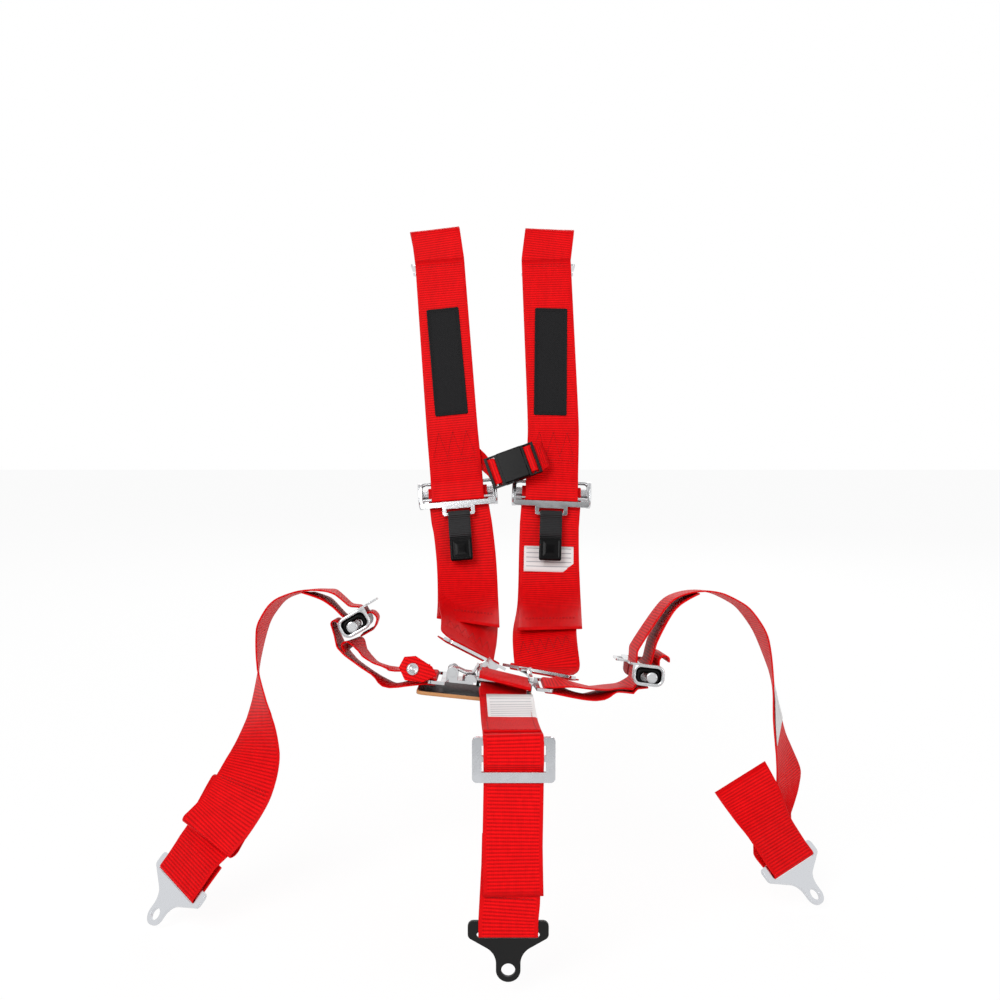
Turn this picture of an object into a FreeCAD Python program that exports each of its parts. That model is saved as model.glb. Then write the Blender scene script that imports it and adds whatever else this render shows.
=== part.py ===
import FreeCAD, Part
import math
import os

import Sketcher

# Five-point racing harness, millimetres. +X is the wearer's left, +Y runs back from
# the knees to the shoulders, +Z is up. The origin is the centre of the bolt hole in
# the crotch strap's anchor plate.

V = FreeCAD.Vector
doc = FreeCAD.newDocument("RacingHarness")

SIZES = [
    ("wide_web", 70.0, "width of the lap and lower shoulder webbing"),
    ("upper_web", 62.0, "width of the upper shoulder webbing, drawn in along its length"),
    ("crotch_web", 51.0, "width of the crotch webbing"),
    ("sternum_web", 32.0, "width of the sternum webbing"),
    ("web_thick", 1.6, "thickness of all belt webbing"),
    ("ply_gap", 0.2, "air between two plies of webbing that lie together"),
    ("bar_gap", 0.4, "air between webbing and the bar it goes round"),
    ("plate_thick", 3.0, "thickness of anchor plates, link tips and the latch plates"),
    ("bolt_hole", 12.0, "diameter of each anchor plate's bolt hole"),
    ("slot_play", 1.5, "extra length of a webbing slot at each end"),
    ("slot_height", 6.0, "height of a webbing slot"),
    ("lobe_margin", 7.5, "plate beyond each end of a webbing slot"),
    ("loop_bar", 9.5, "height of the bar that a webbing loop goes round"),
    ("bolt_to_slot", 31.0, "bolt hole centre to the slot's near edge on the wide plates"),
    ("crotch_bolt_to_slot", 28.0, "bolt hole centre to the slot's near edge on the crotch plate"),
    ("neck_half", 10.5, "half width of an anchor plate's neck at the bolt hole"),
    ("neck_rise", 15.0, "height of the parallel part of the neck above the bolt hole"),
    ("lobe_depth", 5.0, "how far a lobe reaches below the slot's far edge"),
    ("plate_round", 5.0, "corner radius of the lobes"),
    ("waist_round", 16.0, "radius of the concave flank of an anchor plate"),
    ("adj_inner", 84.0, "clear width between an adjuster's cheeks"),
    ("cheek_thick", 2.5, "thickness of an adjuster cheek"),
    ("cheek_top", 16.0, "cheek end above the adjuster's centre"),
    ("cheek_foot", 15.0, "cheek end below the adjuster's centre"),
    ("cheek_front", 9.5, "cheek edge in front of the adjuster's centre"),
    ("cheek_back", 11.3, "cheek edge behind the adjuster's centre"),
    ("cheek_round", 8.0, "corner radius of a cheek"),
    ("sheet_thick", 2.0, "thickness of an adjuster's back plate and lip"),
    ("back_plate", 13.0, "height of an adjuster's back plate"),
    ("slide_radius", 4.0, "radius of the knurled slide bar"),
    ("slide_rest", 4.0, "slide bar centre above the adjuster's centre when locked"),
    ("slide_behind", 3.0, "slide bar centre behind the adjuster's centre"),
    ("slide_travel", 7.0, "travel of the slide bar in its windows"),
    ("slide_play", 0.1, "clearance round the slide bar in its windows"),
    ("head_radius", 5.4, "radius of the slide bar's end heads"),
    ("head_thick", 1.5, "thickness of the slide bar's end heads"),
    ("fixed_radius", 1.8, "radius of the adjuster's fixed bar"),
    ("fixed_below", 8.0, "fixed bar centre below the adjuster's centre"),
    ("fixed_front", 7.3, "fixed bar centre in front of the adjuster's centre"),
    ("lip_height", 6.5, "height of the adjuster's front lip"),
    ("tab_half", 19.0, "half width of the lip's centre tab"),
    ("tab_drop", 11.0, "how far the centre tab reaches below the lip"),
    ("tab_slot_half", 14.5, "half width of the slot in the centre tab"),
    ("tab_bar", 3.5, "height of the tab's bar below its slot"),
    ("tab_slot_height", 5.0, "height of the slot in the centre tab"),
    ("pull_web", 26.0, "width of a pull tab's strap"),
    ("pull_thick", 1.2, "thickness of a pull tab's strap"),
    ("pull_length", 30.0, "length of a pull tab's strap below its bar"),
    ("pull_end_height", 27.0, "height of a pull tab's moulded end"),
    ("pull_end_half", 13.0, "half width of a pull tab's moulded end"),
    ("pull_end_thick", 6.0, "thickness of a pull tab's moulded end"),
    ("slide_frame_margin", 8.0, "side bar width of a three-bar slide"),
    ("slide_bar", 6.0, "height of each bar of a rear three-bar slide"),
    ("slide_window", 14.0, "height of each window of a rear three-bar slide"),
    ("rear_margin", 6.0, "side bar width of a rear three-bar slide"),
    ("crotch_slide_top", 7.2, "height of the crotch slide's top bar"),
    ("crotch_slide_low", 9.0, "height of the crotch slide's bottom bar"),
    ("crotch_slide_mid", 5.0, "height of the crotch slide's centre bar"),
    ("crotch_window", 9.0, "height of each window of the crotch slide"),
    ("tip_wide", 80.0, "width of a link tip across its webbing slot"),
    ("tip_rim", 4.0, "rim of a link tip outside its webbing slot"),
    ("tip_taper", 26.0, "length of a link tip's taper"),
    ("tip_neck", 7.0, "half width of a link tip's neck"),
    ("eye_outer", 12.0, "outer half width of a link tip's eye"),
    ("eye_tall", 7.5, "outer half height of a link tip's eye"),
    ("eye_wall", 3.0, "wall round a link tip's eye"),
    ("left_eye_at", -4.5, "place of the left link tip's eye along the latch"),
    ("right_eye_at", 46.5, "place of the right link tip's eye along the latch"),
    ("tongue_half", 7.0, "half width of the link plate's tongue"),
    ("tongue_end", -20.0, "end of the tongue along the latch"),
    ("link_slot_at", 54.5, "near edge of the link plate's webbing slot along the latch"),
    ("link_shoulder", 51.5, "start of the link plate's wide part along the latch"),
    ("latch_bar", 7.0, "width of the end bars the lap webbing goes round"),
    ("latch_slot_at", -40.0, "near edge of the latch plate's webbing slot along the latch"),
    ("latch_plate_end", -9.0, "end of the latch plate next to the crotch loop"),
    ("latch_body_half", 17.0, "half width of the latch plate between its ears"),
    ("ear_thick", 2.5, "thickness of an ear on the latch plate"),
    ("pin_ear_at", -30.0, "place of the pivot ears along the latch"),
    ("stop_ear_at", -12.0, "place of the stop ears along the latch"),
    ("ear_half", 5.5, "half width of an ear"),
    ("pivot_rise", 8.0, "pivot centre above the latch plate's middle"),
    ("pivot_radius", 2.4, "radius of the latch's pivot pin"),
    ("pivot_play", 0.08, "clearance of the lever on its pivot pin"),
    ("stud_radius", 3.2, "radius of the catch stud"),
    ("stud_height", 4.6, "height of the catch stud above the latch plate"),
    ("stud_at", -14.0, "place of the catch stud along the latch"),
    ("link_lift", 3.4, "link plate's middle above the latch plate's middle"),
    ("lever_half", 11.0, "half width of the lever"),
    ("lever_reach", 27.0, "length of the lever from its pivot"),
    ("lever_thick", 2.5, "thickness of the lever's plate"),
    ("lever_clear", 3.6, "height of the lever's arm above its pivot"),
    ("pad_thick", 3.5, "thickness of the latch's backing pad"),
    ("pad_half", 42.0, "half width of the latch's backing pad"),
    ("pad_from", -62.0, "left end of the backing pad along the latch"),
    ("pad_to", 50.0, "right end of the backing pad along the latch"),
    ("pad_drop", 9.0, "top of the backing pad below the latch plate's middle"),
    ("patch_thick", 1.0, "thickness of a sewn patch"),
    ("patch_half", 20.0, "half width of a shoulder patch"),
    ("patch_length", 136.0, "length of a shoulder patch"),
    ("patch_share", 0.56, "place of a patch's middle down its strap's straight front"),
    ("label_thick", 0.5, "thickness of a sewn label"),
    ("snap_radius", 6.0, "radius of the snap fastener's cap"),
    ("snap_height", 2.4, "height of the snap fastener's cap"),
    ("buckle_half", 19.5, "half height of the sternum buckle"),
    ("buckle_body", 29.0, "length of the sternum buckle's socket shell"),
    ("buckle_thick", 10.0, "thickness of the sternum buckle"),
    ("ladder_length", 16.0, "length of a sternum buckle's webbing ladder"),
    ("ladder_bar", 3.5, "width of a ladder's end bar"),
    ("shell_wall", 2.0, "wall of the socket shell"),
    ("prong_half", 2.2, "half height of a plug prong"),
    ("prong_reach", 20.0, "length of a plug prong inside the shell"),
    ("buckle_play", 0.4, "clearance of the plug in the socket"),
]

sheet = doc.addObject("Spreadsheet::Sheet", "Sizes")
for row, (alias, number, meaning) in enumerate(SIZES, start=1):
    sheet.set(f"A{row}", alias)
    sheet.set(f"B{row}", str(number))
    sheet.setAlias(f"B{row}", alias)
    sheet.set(f"C{row}", meaning)
doc.recompute()


class Dim:
    """A length that carries its number and the sheet expression that gives it."""

    def __init__(self, number, text):
        self.number = number
        self.text = text

    def _join(self, other, sign, number):
        other = as_dim(other)
        return Dim(number, f"({self.text} {sign} {other.text})")

    def __add__(self, other):
        return self._join(other, "+", self.number + as_dim(other).number)

    def __sub__(self, other):
        return self._join(other, "-", self.number - as_dim(other).number)

    def __mul__(self, other):
        return self._join(other, "*", self.number * as_dim(other).number)

    def __truediv__(self, other):
        return self._join(other, "/", self.number / as_dim(other).number)

    def __neg__(self):
        return Dim(-self.number, f"(-1 * {self.text})")


def as_dim(thing):
    return thing if isinstance(thing, Dim) else Dim(float(thing), f"({thing})")


def size(alias):
    return Dim(float(sheet.get(alias)), f"Sizes.{alias}")


def num(alias):
    return float(sheet.get(alias))


# ---------------------------------------------------------------- solids from sketches

def new_body(label):
    body = doc.addObject("PartDesign::Body", label)
    body.Label = label
    return body


def new_sketch(body, role, lift=0):
    """A sketch on one of the body's own origin planes, lifted along its normal."""
    plane = [item for item in body.Origin.OriginFeatures if item.Role == role][0]
    sketch = body.newObject("Sketcher::SketchObject", "Sketch")
    sketch.AttachmentSupport = [(plane, "")]
    sketch.MapMode = "FlatFace"
    lift = as_dim(lift)
    sketch.AttachmentOffset = FreeCAD.Placement(V(0, 0, lift.number), FreeCAD.Rotation())
    sketch.setExpression("AttachmentOffset.Base.z", lift.text)
    return sketch


def pin_down(sketch, geometry, vertex, x, y):
    for kind, coord in (("DistanceX", as_dim(x)), ("DistanceY", as_dim(y))):
        rule = Sketcher.Constraint(kind, -1, 1, geometry, vertex, coord.number)
        index = sketch.addConstraint(rule)
        sketch.setExpression(f"Constraints[{index}]", coord.text)


def draw_outline(sketch, points):
    """A closed polygon with every corner placed from the sheet."""
    points = [(as_dim(x), as_dim(y)) for x, y in points]
    start = sketch.GeometryCount
    count = len(points)
    for here, there in zip(points, points[1:] + points[:1]):
        line = Part.LineSegment(V(here[0].number, here[1].number, 0),
                                V(there[0].number, there[1].number, 0))
        sketch.addGeometry(line, False)
    for step in range(count):
        joint = Sketcher.Constraint("Coincident", start + step, 2, start + (step + 1) % count, 1)
        sketch.addConstraint(joint)
    for step, (x, y) in enumerate(points):
        pin_down(sketch, start + step, 1, x, y)


def draw_circle(sketch, x, y, radius):
    x, y, radius = as_dim(x), as_dim(y), as_dim(radius)
    circle = Part.Circle(V(x.number, y.number, 0), V(0, 0, 1), radius.number)
    geometry = sketch.addGeometry(circle, False)
    pin_down(sketch, geometry, 3, x, y)
    index = sketch.addConstraint(Sketcher.Constraint("Radius", geometry, radius.number))
    sketch.setExpression(f"Constraints[{index}]", radius.text)


def rectangle(x0, x1, y0, y1):
    return [(x0, y0), (x1, y0), (x1, y1), (x0, y1)]


def pad(body, sketch, length, name="Pad"):
    feature = body.newObject("PartDesign::Pad", name)
    feature.Profile = sketch
    length = as_dim(length)
    feature.Length = length.number
    feature.setExpression("Length", length.text)
    body.Tip = feature
    doc.recompute()
    return feature


def round_corners(body, base, role, corners, radius):
    """Fillet the padded edges that stand on the named corners of the outline."""
    axes = {"XY_Plane": (0, 1), "XZ_Plane": (0, 2), "YZ_Plane": (1, 2)}[role]
    corners = [(as_dim(x).number, as_dim(y).number) for x, y in corners]
    chosen = []
    for index, edge in enumerate(base.Shape.Edges, start=1):
        ends = [vertex.Point for vertex in edge.Vertexes]
        for x, y in corners:
            if len(ends) == 2 and all(math.hypot(end[axes[0]] - x, end[axes[1]] - y) < 1e-3
                                      for end in ends):
                chosen.append(f"Edge{index}")
    feature = body.newObject("PartDesign::Fillet", "Round")
    feature.Base = (base, chosen)
    radius = as_dim(radius)
    feature.Radius = radius.number
    feature.setExpression("Radius", radius.text)
    body.Tip = feature
    doc.recompute()
    return feature


# ---------------------------------------------------------------- frames and routes

def frame_from(origin, across, up):
    """A placement whose X runs across, whose Y runs up and whose Z is their normal."""
    x = V(*across).normalize()
    z = x.cross(V(*up)).normalize()
    y = z.cross(x)
    matrix = FreeCAD.Matrix(x.x, y.x, z.x, origin[0], x.y, y.y, z.y, origin[1],
                            x.z, y.z, z.z, origin[2], 0, 0, 0, 1)
    return FreeCAD.Placement(matrix)


def in_frame(frame, points):
    """Carry (x, y, z, radius, across) points from a local frame into the harness's."""
    carried = []
    for x, y, z, radius, across in points:
        place = frame.multVec(V(x, y, z))
        turned = frame.Rotation.multVec(V(*across))
        carried.append((place.x, place.y, place.z, radius, tuple(turned)))
    return carried


def stations(points):
    """Sample a route of straight runs and tangent arcs as (centre, across) pairs."""
    route = []
    places = [V(*point[:3]) for point in points]
    widths = [V(*point[4]).normalize() for point in points]
    for step, place in enumerate(places):
        radius = points[step][3]
        if step in (0, len(places) - 1) or radius <= 0:
            route.append((place, widths[step]))
            continue
        back = (places[step - 1] - place).normalize()
        ahead = (places[step + 1] - place).normalize()
        half = math.acos(max(-1.0, min(1.0, back.dot(ahead)))) / 2
        reach = radius / math.tan(half)
        room = 0.499 * min((places[step - 1] - place).Length, (places[step + 1] - place).Length)
        reach = min(reach, room)
        radius = reach * math.tan(half)
        centre = place + (back + ahead).normalize() * (radius / math.sin(half))
        first = place + back * reach - centre
        last = place + ahead * reach - centre
        turn = math.pi - 2 * half
        count = max(1, math.ceil(turn / math.radians(24)))
        for part in range(count + 1):
            share = part / count
            arm = first * math.sin((1 - share) * turn) + last * math.sin(share * turn)
            arm = arm * (1 / math.sin(turn))
            route.append((centre + arm, widths[step]))
    return route


def ribbon(label, points, width, thick, taper=None, square=True):
    """A flat strap of webbing as one closed solid that follows its route.

    Square sections stand at right angles to the route. The others keep the direction
    that each point gives, which suits a strap that is drawn sideways as it runs.
    """
    route = stations(points)
    spots = [spot for spot, across in route]
    wires = []
    for step, (spot, across) in enumerate(route):
        before = spots[max(step - 1, 0)]
        after = spots[min(step + 1, len(spots) - 1)]
        if 0 < step < len(spots) - 1:
            tangent = (spot - before).normalize() + (after - spot).normalize()
        else:
            tangent = after - before
        tangent.normalize()
        if square:
            across = (across - tangent * across.dot(tangent)).normalize()
        normal = across.cross(tangent).normalize()
        half = width / 2 * (taper(spot) if taper else 1.0)
        corners = [spot + across * half * sx + normal * (thick / 2 * sz)
                   for sx, sz in ((-1, -1), (1, -1), (1, 1), (-1, 1))]
        wires.append(Part.makePolygon(corners + corners[:1]))
    solid = Part.makeLoft(wires, True, True)
    feature = doc.addObject("Part::Feature", label)
    feature.Label = label
    feature.Shape = solid
    return feature


def slab(label, frame, outline, thick):
    """A thin sewn-on piece: an outline in a local frame, pushed out along its normal."""
    corners = [V(x, y, 0) for x, y in outline]
    face = Part.Face(Part.makePolygon(corners + corners[:1]))
    feature = doc.addObject("Part::Feature", label)
    feature.Label = label
    feature.Shape = face.extrude(V(0, 0, thick))
    feature.Placement = frame
    return feature


parts = []


# ---------------------------------------------------------------- hardware

def anchor_plate(label, frame, web, slot_from):
    """Stamped plate: bolt eye, waisted neck, two lobes and a webbing slot."""
    slot_half = size(web) / 2 + size("slot_play")
    half = slot_half + size("lobe_margin")
    slot_low = size(slot_from)
    slot_top = slot_low + size("slot_height")
    top = slot_top + size("loop_bar")
    low = slot_low - size("lobe_depth") + size("slot_height")
    neck = size("neck_half")
    rise = size("neck_rise")
    body = new_body(label)
    sketch = new_sketch(body, "XY_Plane", -(size("plate_thick") / 2))
    outline = [(-half, top), (half, top), (half, low), (neck, rise), (neck, -neck),
               (-neck, -neck), (-neck, rise), (-half, low)]
    draw_outline(sketch, outline)
    slot = rectangle(-slot_half, slot_half, slot_low, slot_top)
    draw_outline(sketch, slot)
    draw_circle(sketch, 0, 0, size("bolt_hole") / 2)
    blank = pad(body, sketch, size("plate_thick"))
    lobes = round_corners(body, blank, "XY_Plane", [outline[i] for i in (0, 1, 2, 7)],
                          size("plate_round"))
    waist = round_corners(body, lobes, "XY_Plane", [outline[3], outline[6]],
                          size("waist_round"))
    eye = round_corners(body, waist, "XY_Plane", [outline[4], outline[5]], neck - 0.05)
    round_corners(body, eye, "XY_Plane", slot, size("slot_height") / 2 - 0.1)
    body.Placement = frame
    parts.append(body)


def adjuster_frame(label, frame):
    """Folded adjuster: back plate, two windowed cheeks, fixed bar and tabbed lip."""
    inner = size("adj_inner") / 2
    sheet_thick = size("sheet_thick")
    body = new_body(label)
    back = new_sketch(body, "XY_Plane", -size("cheek_back"))
    back_top = size("cheek_top") - size("cheek_round") - 0.5
    draw_outline(back, rectangle(-inner, inner, back_top - size("back_plate"), back_top))
    pad(body, back, sheet_thick)
    slide = size("slide_radius") + size("slide_play")
    low, high = size("slide_rest") - size("slide_travel") - slide, size("slide_rest") + slide
    for start in (inner, -inner - size("cheek_thick")):
        cheek = new_sketch(body, "YZ_Plane", start)
        outline = rectangle(-size("cheek_foot"), size("cheek_top"), -size("cheek_back"),
                            size("cheek_front"))
        draw_outline(cheek, outline)
        window = rectangle(low, high, -size("slide_behind") - slide,
                           -size("slide_behind") + slide)
        draw_outline(cheek, window)
        side = pad(body, cheek, size("cheek_thick"))
        side = round_cheek(body, side, start, outline[:3], size("cheek_round"))
        round_cheek(body, side, start, window, slide - 0.02)
    bar = new_sketch(body, "YZ_Plane", -inner)
    draw_circle(bar, -size("fixed_below"), size("fixed_front"), size("fixed_radius"))
    pad(body, bar, inner * 2)
    lip_top = -(size("fixed_below") + size("fixed_radius") + size("bar_gap")
                + size("web_thick") + 0.3)
    lip_low = lip_top - size("lip_height")
    tab = size("tab_half")
    outer = inner + size("cheek_thick")
    tab_low = lip_low - size("tab_drop")
    slot_low = tab_low + size("tab_bar")
    lip = new_sketch(body, "XY_Plane", size("cheek_front") - sheet_thick)
    draw_outline(lip, [(-outer, lip_top), (outer, lip_top), (outer, lip_low), (tab, lip_low),
                       (tab, tab_low), (-tab, tab_low), (-tab, lip_low), (-outer, lip_low)])
    slot = size("tab_slot_half")
    draw_outline(lip, rectangle(-slot, slot, slot_low, slot_low + size("tab_slot_height")))
    plate = pad(body, lip, sheet_thick)
    round_corners(body, plate, "XY_Plane", [(outer, lip_low), (tab, tab_low), (-tab, tab_low),
                                            (-outer, lip_low)], 3.0)
    body.Placement = frame
    parts.append(body)


def round_cheek(body, base, start, corners, radius):
    """Fillet the edges of one cheek only, found between its two faces."""
    corners = [(as_dim(y).number, as_dim(z).number) for y, z in corners]
    low = start.number - 1e-3
    high = start.number + num("cheek_thick") + 1e-3
    chosen = []
    for index, edge in enumerate(base.Shape.Edges, start=1):
        ends = [vertex.Point for vertex in edge.Vertexes]
        if len(ends) != 2 or not all(low < end.x < high for end in ends):
            continue
        for y, z in corners:
            if all(math.hypot(end.y - y, end.z - z) < 1e-3 for end in ends):
                chosen.append(f"Edge{index}")
    feature = body.newObject("PartDesign::Fillet", "Round")
    feature.Base = (base, chosen)
    feature.Radius = radius.number
    feature.setExpression("Radius", radius.text)
    body.Tip = feature
    doc.recompute()
    return feature


def slide_bar(label, frame):
    """Knurled slide bar with a head outside each cheek."""
    body = new_body(label)
    reach = size("adj_inner") / 2 + size("cheek_thick") + 0.3
    head_end = reach + size("head_thick")
    centre = (size("slide_rest"), -size("slide_behind"))
    for start, length, radius in ((-reach, reach * 2, "slide_radius"),
                                  (reach, size("head_thick"), "head_radius"),
                                  (-head_end, size("head_thick"), "head_radius")):
        sketch = new_sketch(body, "YZ_Plane", start)
        draw_circle(sketch, centre[0], centre[1], size(radius))
        pad(body, sketch, length)
    body.Placement = frame
    parts.append(body)


def tab_bar_centre():
    """Local centre of the bar that a pull tab's strap goes round."""
    lip_top = -(num("fixed_below") + num("fixed_radius") + num("bar_gap")
                + num("web_thick") + 0.3)
    low = lip_top - num("lip_height") - num("tab_drop")
    return low + num("tab_bar") / 2, num("cheek_front") - num("sheet_thick") / 2


def pull_tab(prefix, frame):
    """Looped strap on the tab's bar with a moulded end."""
    y, z = tab_bar_centre()
    thick = num("pull_thick")
    arm = math.hypot(num("tab_bar"), num("sheet_thick")) / 2 + num("bar_gap") + thick / 2
    foot = y - num("pull_length")
    lean = thick / 2 + 0.1
    route = [(0, foot, z - lean, 0, (1, 0, 0)), (0, y - 6, z - lean, 6, (1, 0, 0)),
             (0, y, z - arm, 3, (1, 0, 0)), (0, y + arm, z - arm, arm, (1, 0, 0)),
             (0, y + arm, z + arm, arm, (1, 0, 0)), (0, y - 1, z + arm, 3, (1, 0, 0)),
             (0, y - 6.5, z + lean, 6, (1, 0, 0)), (0, foot, z + lean, 0, (1, 0, 0))]
    strap = ribbon(prefix + "_pull_tab_strap", in_frame(frame, route), num("pull_web"), thick)
    parts.append(strap)
    body = new_body(prefix + "_pull_tab_end")
    end_thick = size("pull_end_thick")
    half = size("pull_end_half")
    sketch = new_sketch(body, "XY_Plane", Dim(z, str(z)) - end_thick / 2)
    outline = rectangle(-half, half, Dim(foot, str(foot)) - size("pull_end_height"),
                        Dim(foot, str(foot)))
    draw_outline(sketch, outline)
    block = pad(body, sketch, end_thick)
    round_corners(body, block, "XY_Plane", outline, 2.5)
    body.Placement = frame
    parts.append(body)


def rear_slide(label, frame):
    """Three-bar slide with two equal windows."""
    window = size("slide_window")
    bar = size("slide_bar")
    half_w = size("upper_web") / 2 + size("slot_play")
    outer_w = half_w + size("rear_margin")
    outer_h = bar * 1.5 + window
    body = new_body(label)
    sketch = new_sketch(body, "XY_Plane", -(size("plate_thick") / 2))
    outline = rectangle(-outer_w, outer_w, -outer_h, outer_h)
    draw_outline(sketch, outline)
    draw_outline(sketch, rectangle(-half_w, half_w, bar / 2, bar / 2 + window))
    draw_outline(sketch, rectangle(-half_w, half_w, -(bar / 2) - window, -(bar / 2)))
    plate = pad(body, sketch, size("plate_thick"))
    round_corners(body, plate, "XY_Plane", outline, 4.0)
    body.Placement = frame
    parts.append(body)


def crotch_slide(label, frame):
    """Flat three-bar slide whose bottom bar shows under the webbing."""
    half_w = size("crotch_web") / 2 + size("slot_play")
    outer_w = half_w + size("slide_frame_margin")
    mid = size("crotch_slide_mid") / 2
    window = size("crotch_window")
    top = mid + window + size("crotch_slide_top")
    low = -mid - window - size("crotch_slide_low")
    body = new_body(label)
    sketch = new_sketch(body, "XY_Plane", -(size("plate_thick") / 2))
    outline = rectangle(-outer_w, outer_w, low, top)
    draw_outline(sketch, outline)
    draw_outline(sketch, rectangle(-half_w, half_w, mid, mid + window))
    draw_outline(sketch, rectangle(-half_w, half_w, -mid - window, -mid))
    plate = pad(body, sketch, size("plate_thick"))
    round_corners(body, plate, "XY_Plane", outline, 4.0)
    body.Placement = frame
    parts.append(body)


def link_tip(label, frame, neck, eye_at):
    """Flat slotted tip whose neck turns on edge and ends in an eye on the tongue."""
    slot_half = size("tip_wide") / 2 - size("tip_rim")
    wide = size("tip_wide") / 2
    slot_low = -(size("slot_height") / 2)
    top = -slot_low + size("loop_bar") * 0.6
    low = slot_low - 4
    foot = low - size("tip_taper")
    neck_half = size("tip_neck")
    body = new_body(label + "_plate")
    sketch = new_sketch(body, "XY_Plane", -(size("plate_thick") / 2))
    outline = [(-wide, top), (wide, top), (wide, low), (neck_half, foot), (-neck_half, foot),
               (-wide, low)]
    draw_outline(sketch, outline)
    slot = rectangle(-slot_half, slot_half, slot_low, -slot_low)
    draw_outline(sketch, slot)
    blank = pad(body, sketch, size("plate_thick"))
    rim = round_corners(body, blank, "XY_Plane", [outline[i] for i in (0, 1)], 4.0)
    rim = round_corners(body, rim, "XY_Plane", [outline[i] for i in (2, 5)], 6.0)
    round_corners(body, rim, "XY_Plane", slot, 2.6)
    body.Placement = frame
    strip = ribbon(label + "_neck", neck, num("tip_neck") * 2, num("plate_thick"))
    outer_y, outer_z = num("eye_outer"), num("eye_tall")
    wall = num("eye_wall")
    thick = num("plate_thick")
    ring_outer = rounded_ring(outer_y, outer_z, thick)
    ring_inner = rounded_ring(outer_y - wall, outer_z - wall, thick)
    ring = ring_outer.cut(ring_inner)
    seat = V(num(eye_at), 0, num("link_lift"))
    ring.Placement = latch_frame * FreeCAD.Placement(seat, FreeCAD.Rotation())
    eye = doc.addObject("Part::Feature", label + "_eye")
    eye.Shape = ring
    tip = doc.addObject("Part::MultiFuse", label)
    tip.Label = label
    tip.Shapes = [body, strip, eye]
    doc.recompute()
    parts.append(tip)


def rounded_ring(half_y, half_z, thick):
    """A stadium-ended slab across the latch's length, centred on its own origin."""
    box = Part.makeBox(thick, 2 * (half_y - half_z), 2 * half_z,
                       V(-thick / 2, -(half_y - half_z), -half_z))
    ends = [Part.makeCylinder(half_z, thick, V(-thick / 2, side * (half_y - half_z), 0),
                              V(1, 0, 0)) for side in (-1, 1)]
    return box.fuse(ends).removeSplitter()


def latch_plate(frame):
    """Latch plate with a webbing slot at one end, two pairs of ears and a catch stud."""
    wide = size("tip_wide") / 2
    slot_half = wide - size("tip_rim")
    slot_right = size("latch_slot_at")
    slot_left = slot_right - size("slot_height")
    far_end = slot_left - size("latch_bar")
    near_end = size("latch_plate_end")
    narrow = size("latch_body_half")
    half = size("plate_thick") / 2
    body = new_body("latch_plate")
    sketch = new_sketch(body, "XY_Plane", -half)
    outline = [(far_end, -wide), (slot_right + 4, -wide), (slot_right + 7, -narrow),
               (near_end, -narrow), (near_end, narrow), (slot_right + 7, narrow),
               (slot_right + 4, wide), (far_end, wide)]
    draw_outline(sketch, outline)
    slot = rectangle(slot_left, slot_right, -slot_half, slot_half)
    draw_outline(sketch, slot)
    plate = pad(body, sketch, size("plate_thick"))
    plate = round_corners(body, plate, "XY_Plane", [outline[0], outline[7]], 5.0)
    round_corners(body, plate, "XY_Plane", slot, 2.6)
    for side in (-1, 1):
        start = narrow * side - (size("ear_thick") if side > 0 else as_dim(0))
        lift = -start - size("ear_thick")
        for at, rise, bore in (("pin_ear_at", size("pivot_rise") + size("ear_half"), True),
                               ("stop_ear_at", size("pivot_rise"), False)):
            ear = new_sketch(body, "XZ_Plane", lift)
            at = size(at)
            reach = size("ear_half")
            outline = rectangle(at - reach, at + reach, half - 0.5, rise)
            draw_outline(ear, outline)
            if bore:
                draw_circle(ear, at, size("pivot_rise"), size("pivot_radius"))
            flap = pad(body, ear, size("ear_thick"))
            round_ear(body, flap, lift, outline[2:], reach - 0.2)
    stud = new_sketch(body, "XY_Plane", half - 0.2)
    draw_circle(stud, size("stud_at"), 0, size("stud_radius"))
    pad(body, stud, size("stud_height") + 0.2)
    body.Placement = frame
    parts.append(body)


def round_ear(body, base, lift, corners, radius):
    """Round the top corners of one ear, found between its two faces."""
    low = -lift.number - num("ear_thick") - 1e-3
    high = -lift.number + 1e-3
    chosen = []
    for index, edge in enumerate(base.Shape.Edges, start=1):
        ends = [vertex.Point for vertex in edge.Vertexes]
        if len(ends) != 2 or not all(low < end.y < high for end in ends):
            continue
        for x, z in corners:
            if all(math.hypot(end.x - as_dim(x).number, end.z - as_dim(z).number) < 1e-3
                   for end in ends):
                chosen.append(f"Edge{index}")
    feature = body.newObject("PartDesign::Fillet", "Round")
    feature.Base = (base, chosen)
    feature.Radius = radius.number
    feature.setExpression("Radius", radius.text)
    body.Tip = feature
    doc.recompute()


def link_plate(frame):
    """Link plate: a tongue with a catch hole, and a wide end with a webbing slot."""
    wide = size("tip_wide") / 2
    slot_half = wide - size("tip_rim")
    slot_at = size("link_slot_at")
    slot_end = slot_at + size("slot_height")
    far_end = slot_end + size("latch_bar")
    tongue = size("tongue_half")
    shoulder = size("link_shoulder")
    start = size("tongue_end")
    body = new_body("latch_link_plate")
    sketch = new_sketch(body, "XY_Plane", size("link_lift") - size("plate_thick") / 2)
    outline = [(start, -tongue), (shoulder - 2, -tongue), (shoulder, -wide), (far_end, -wide),
               (far_end, wide), (shoulder, wide), (shoulder - 2, tongue), (start, tongue)]
    draw_outline(sketch, outline)
    slot = rectangle(slot_at, slot_end, -slot_half, slot_half)
    draw_outline(sketch, slot)
    draw_circle(sketch, size("stud_at"), 0, size("stud_radius") + 0.3)
    plate = pad(body, sketch, size("plate_thick"))
    plate = round_corners(body, plate, "XY_Plane", [outline[3], outline[4]], 6.0)
    plate = round_corners(body, plate, "XY_Plane", [outline[0], outline[7]], 3.5)
    round_corners(body, plate, "XY_Plane", slot, 2.6)
    body.Placement = frame
    parts.append(body)


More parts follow.
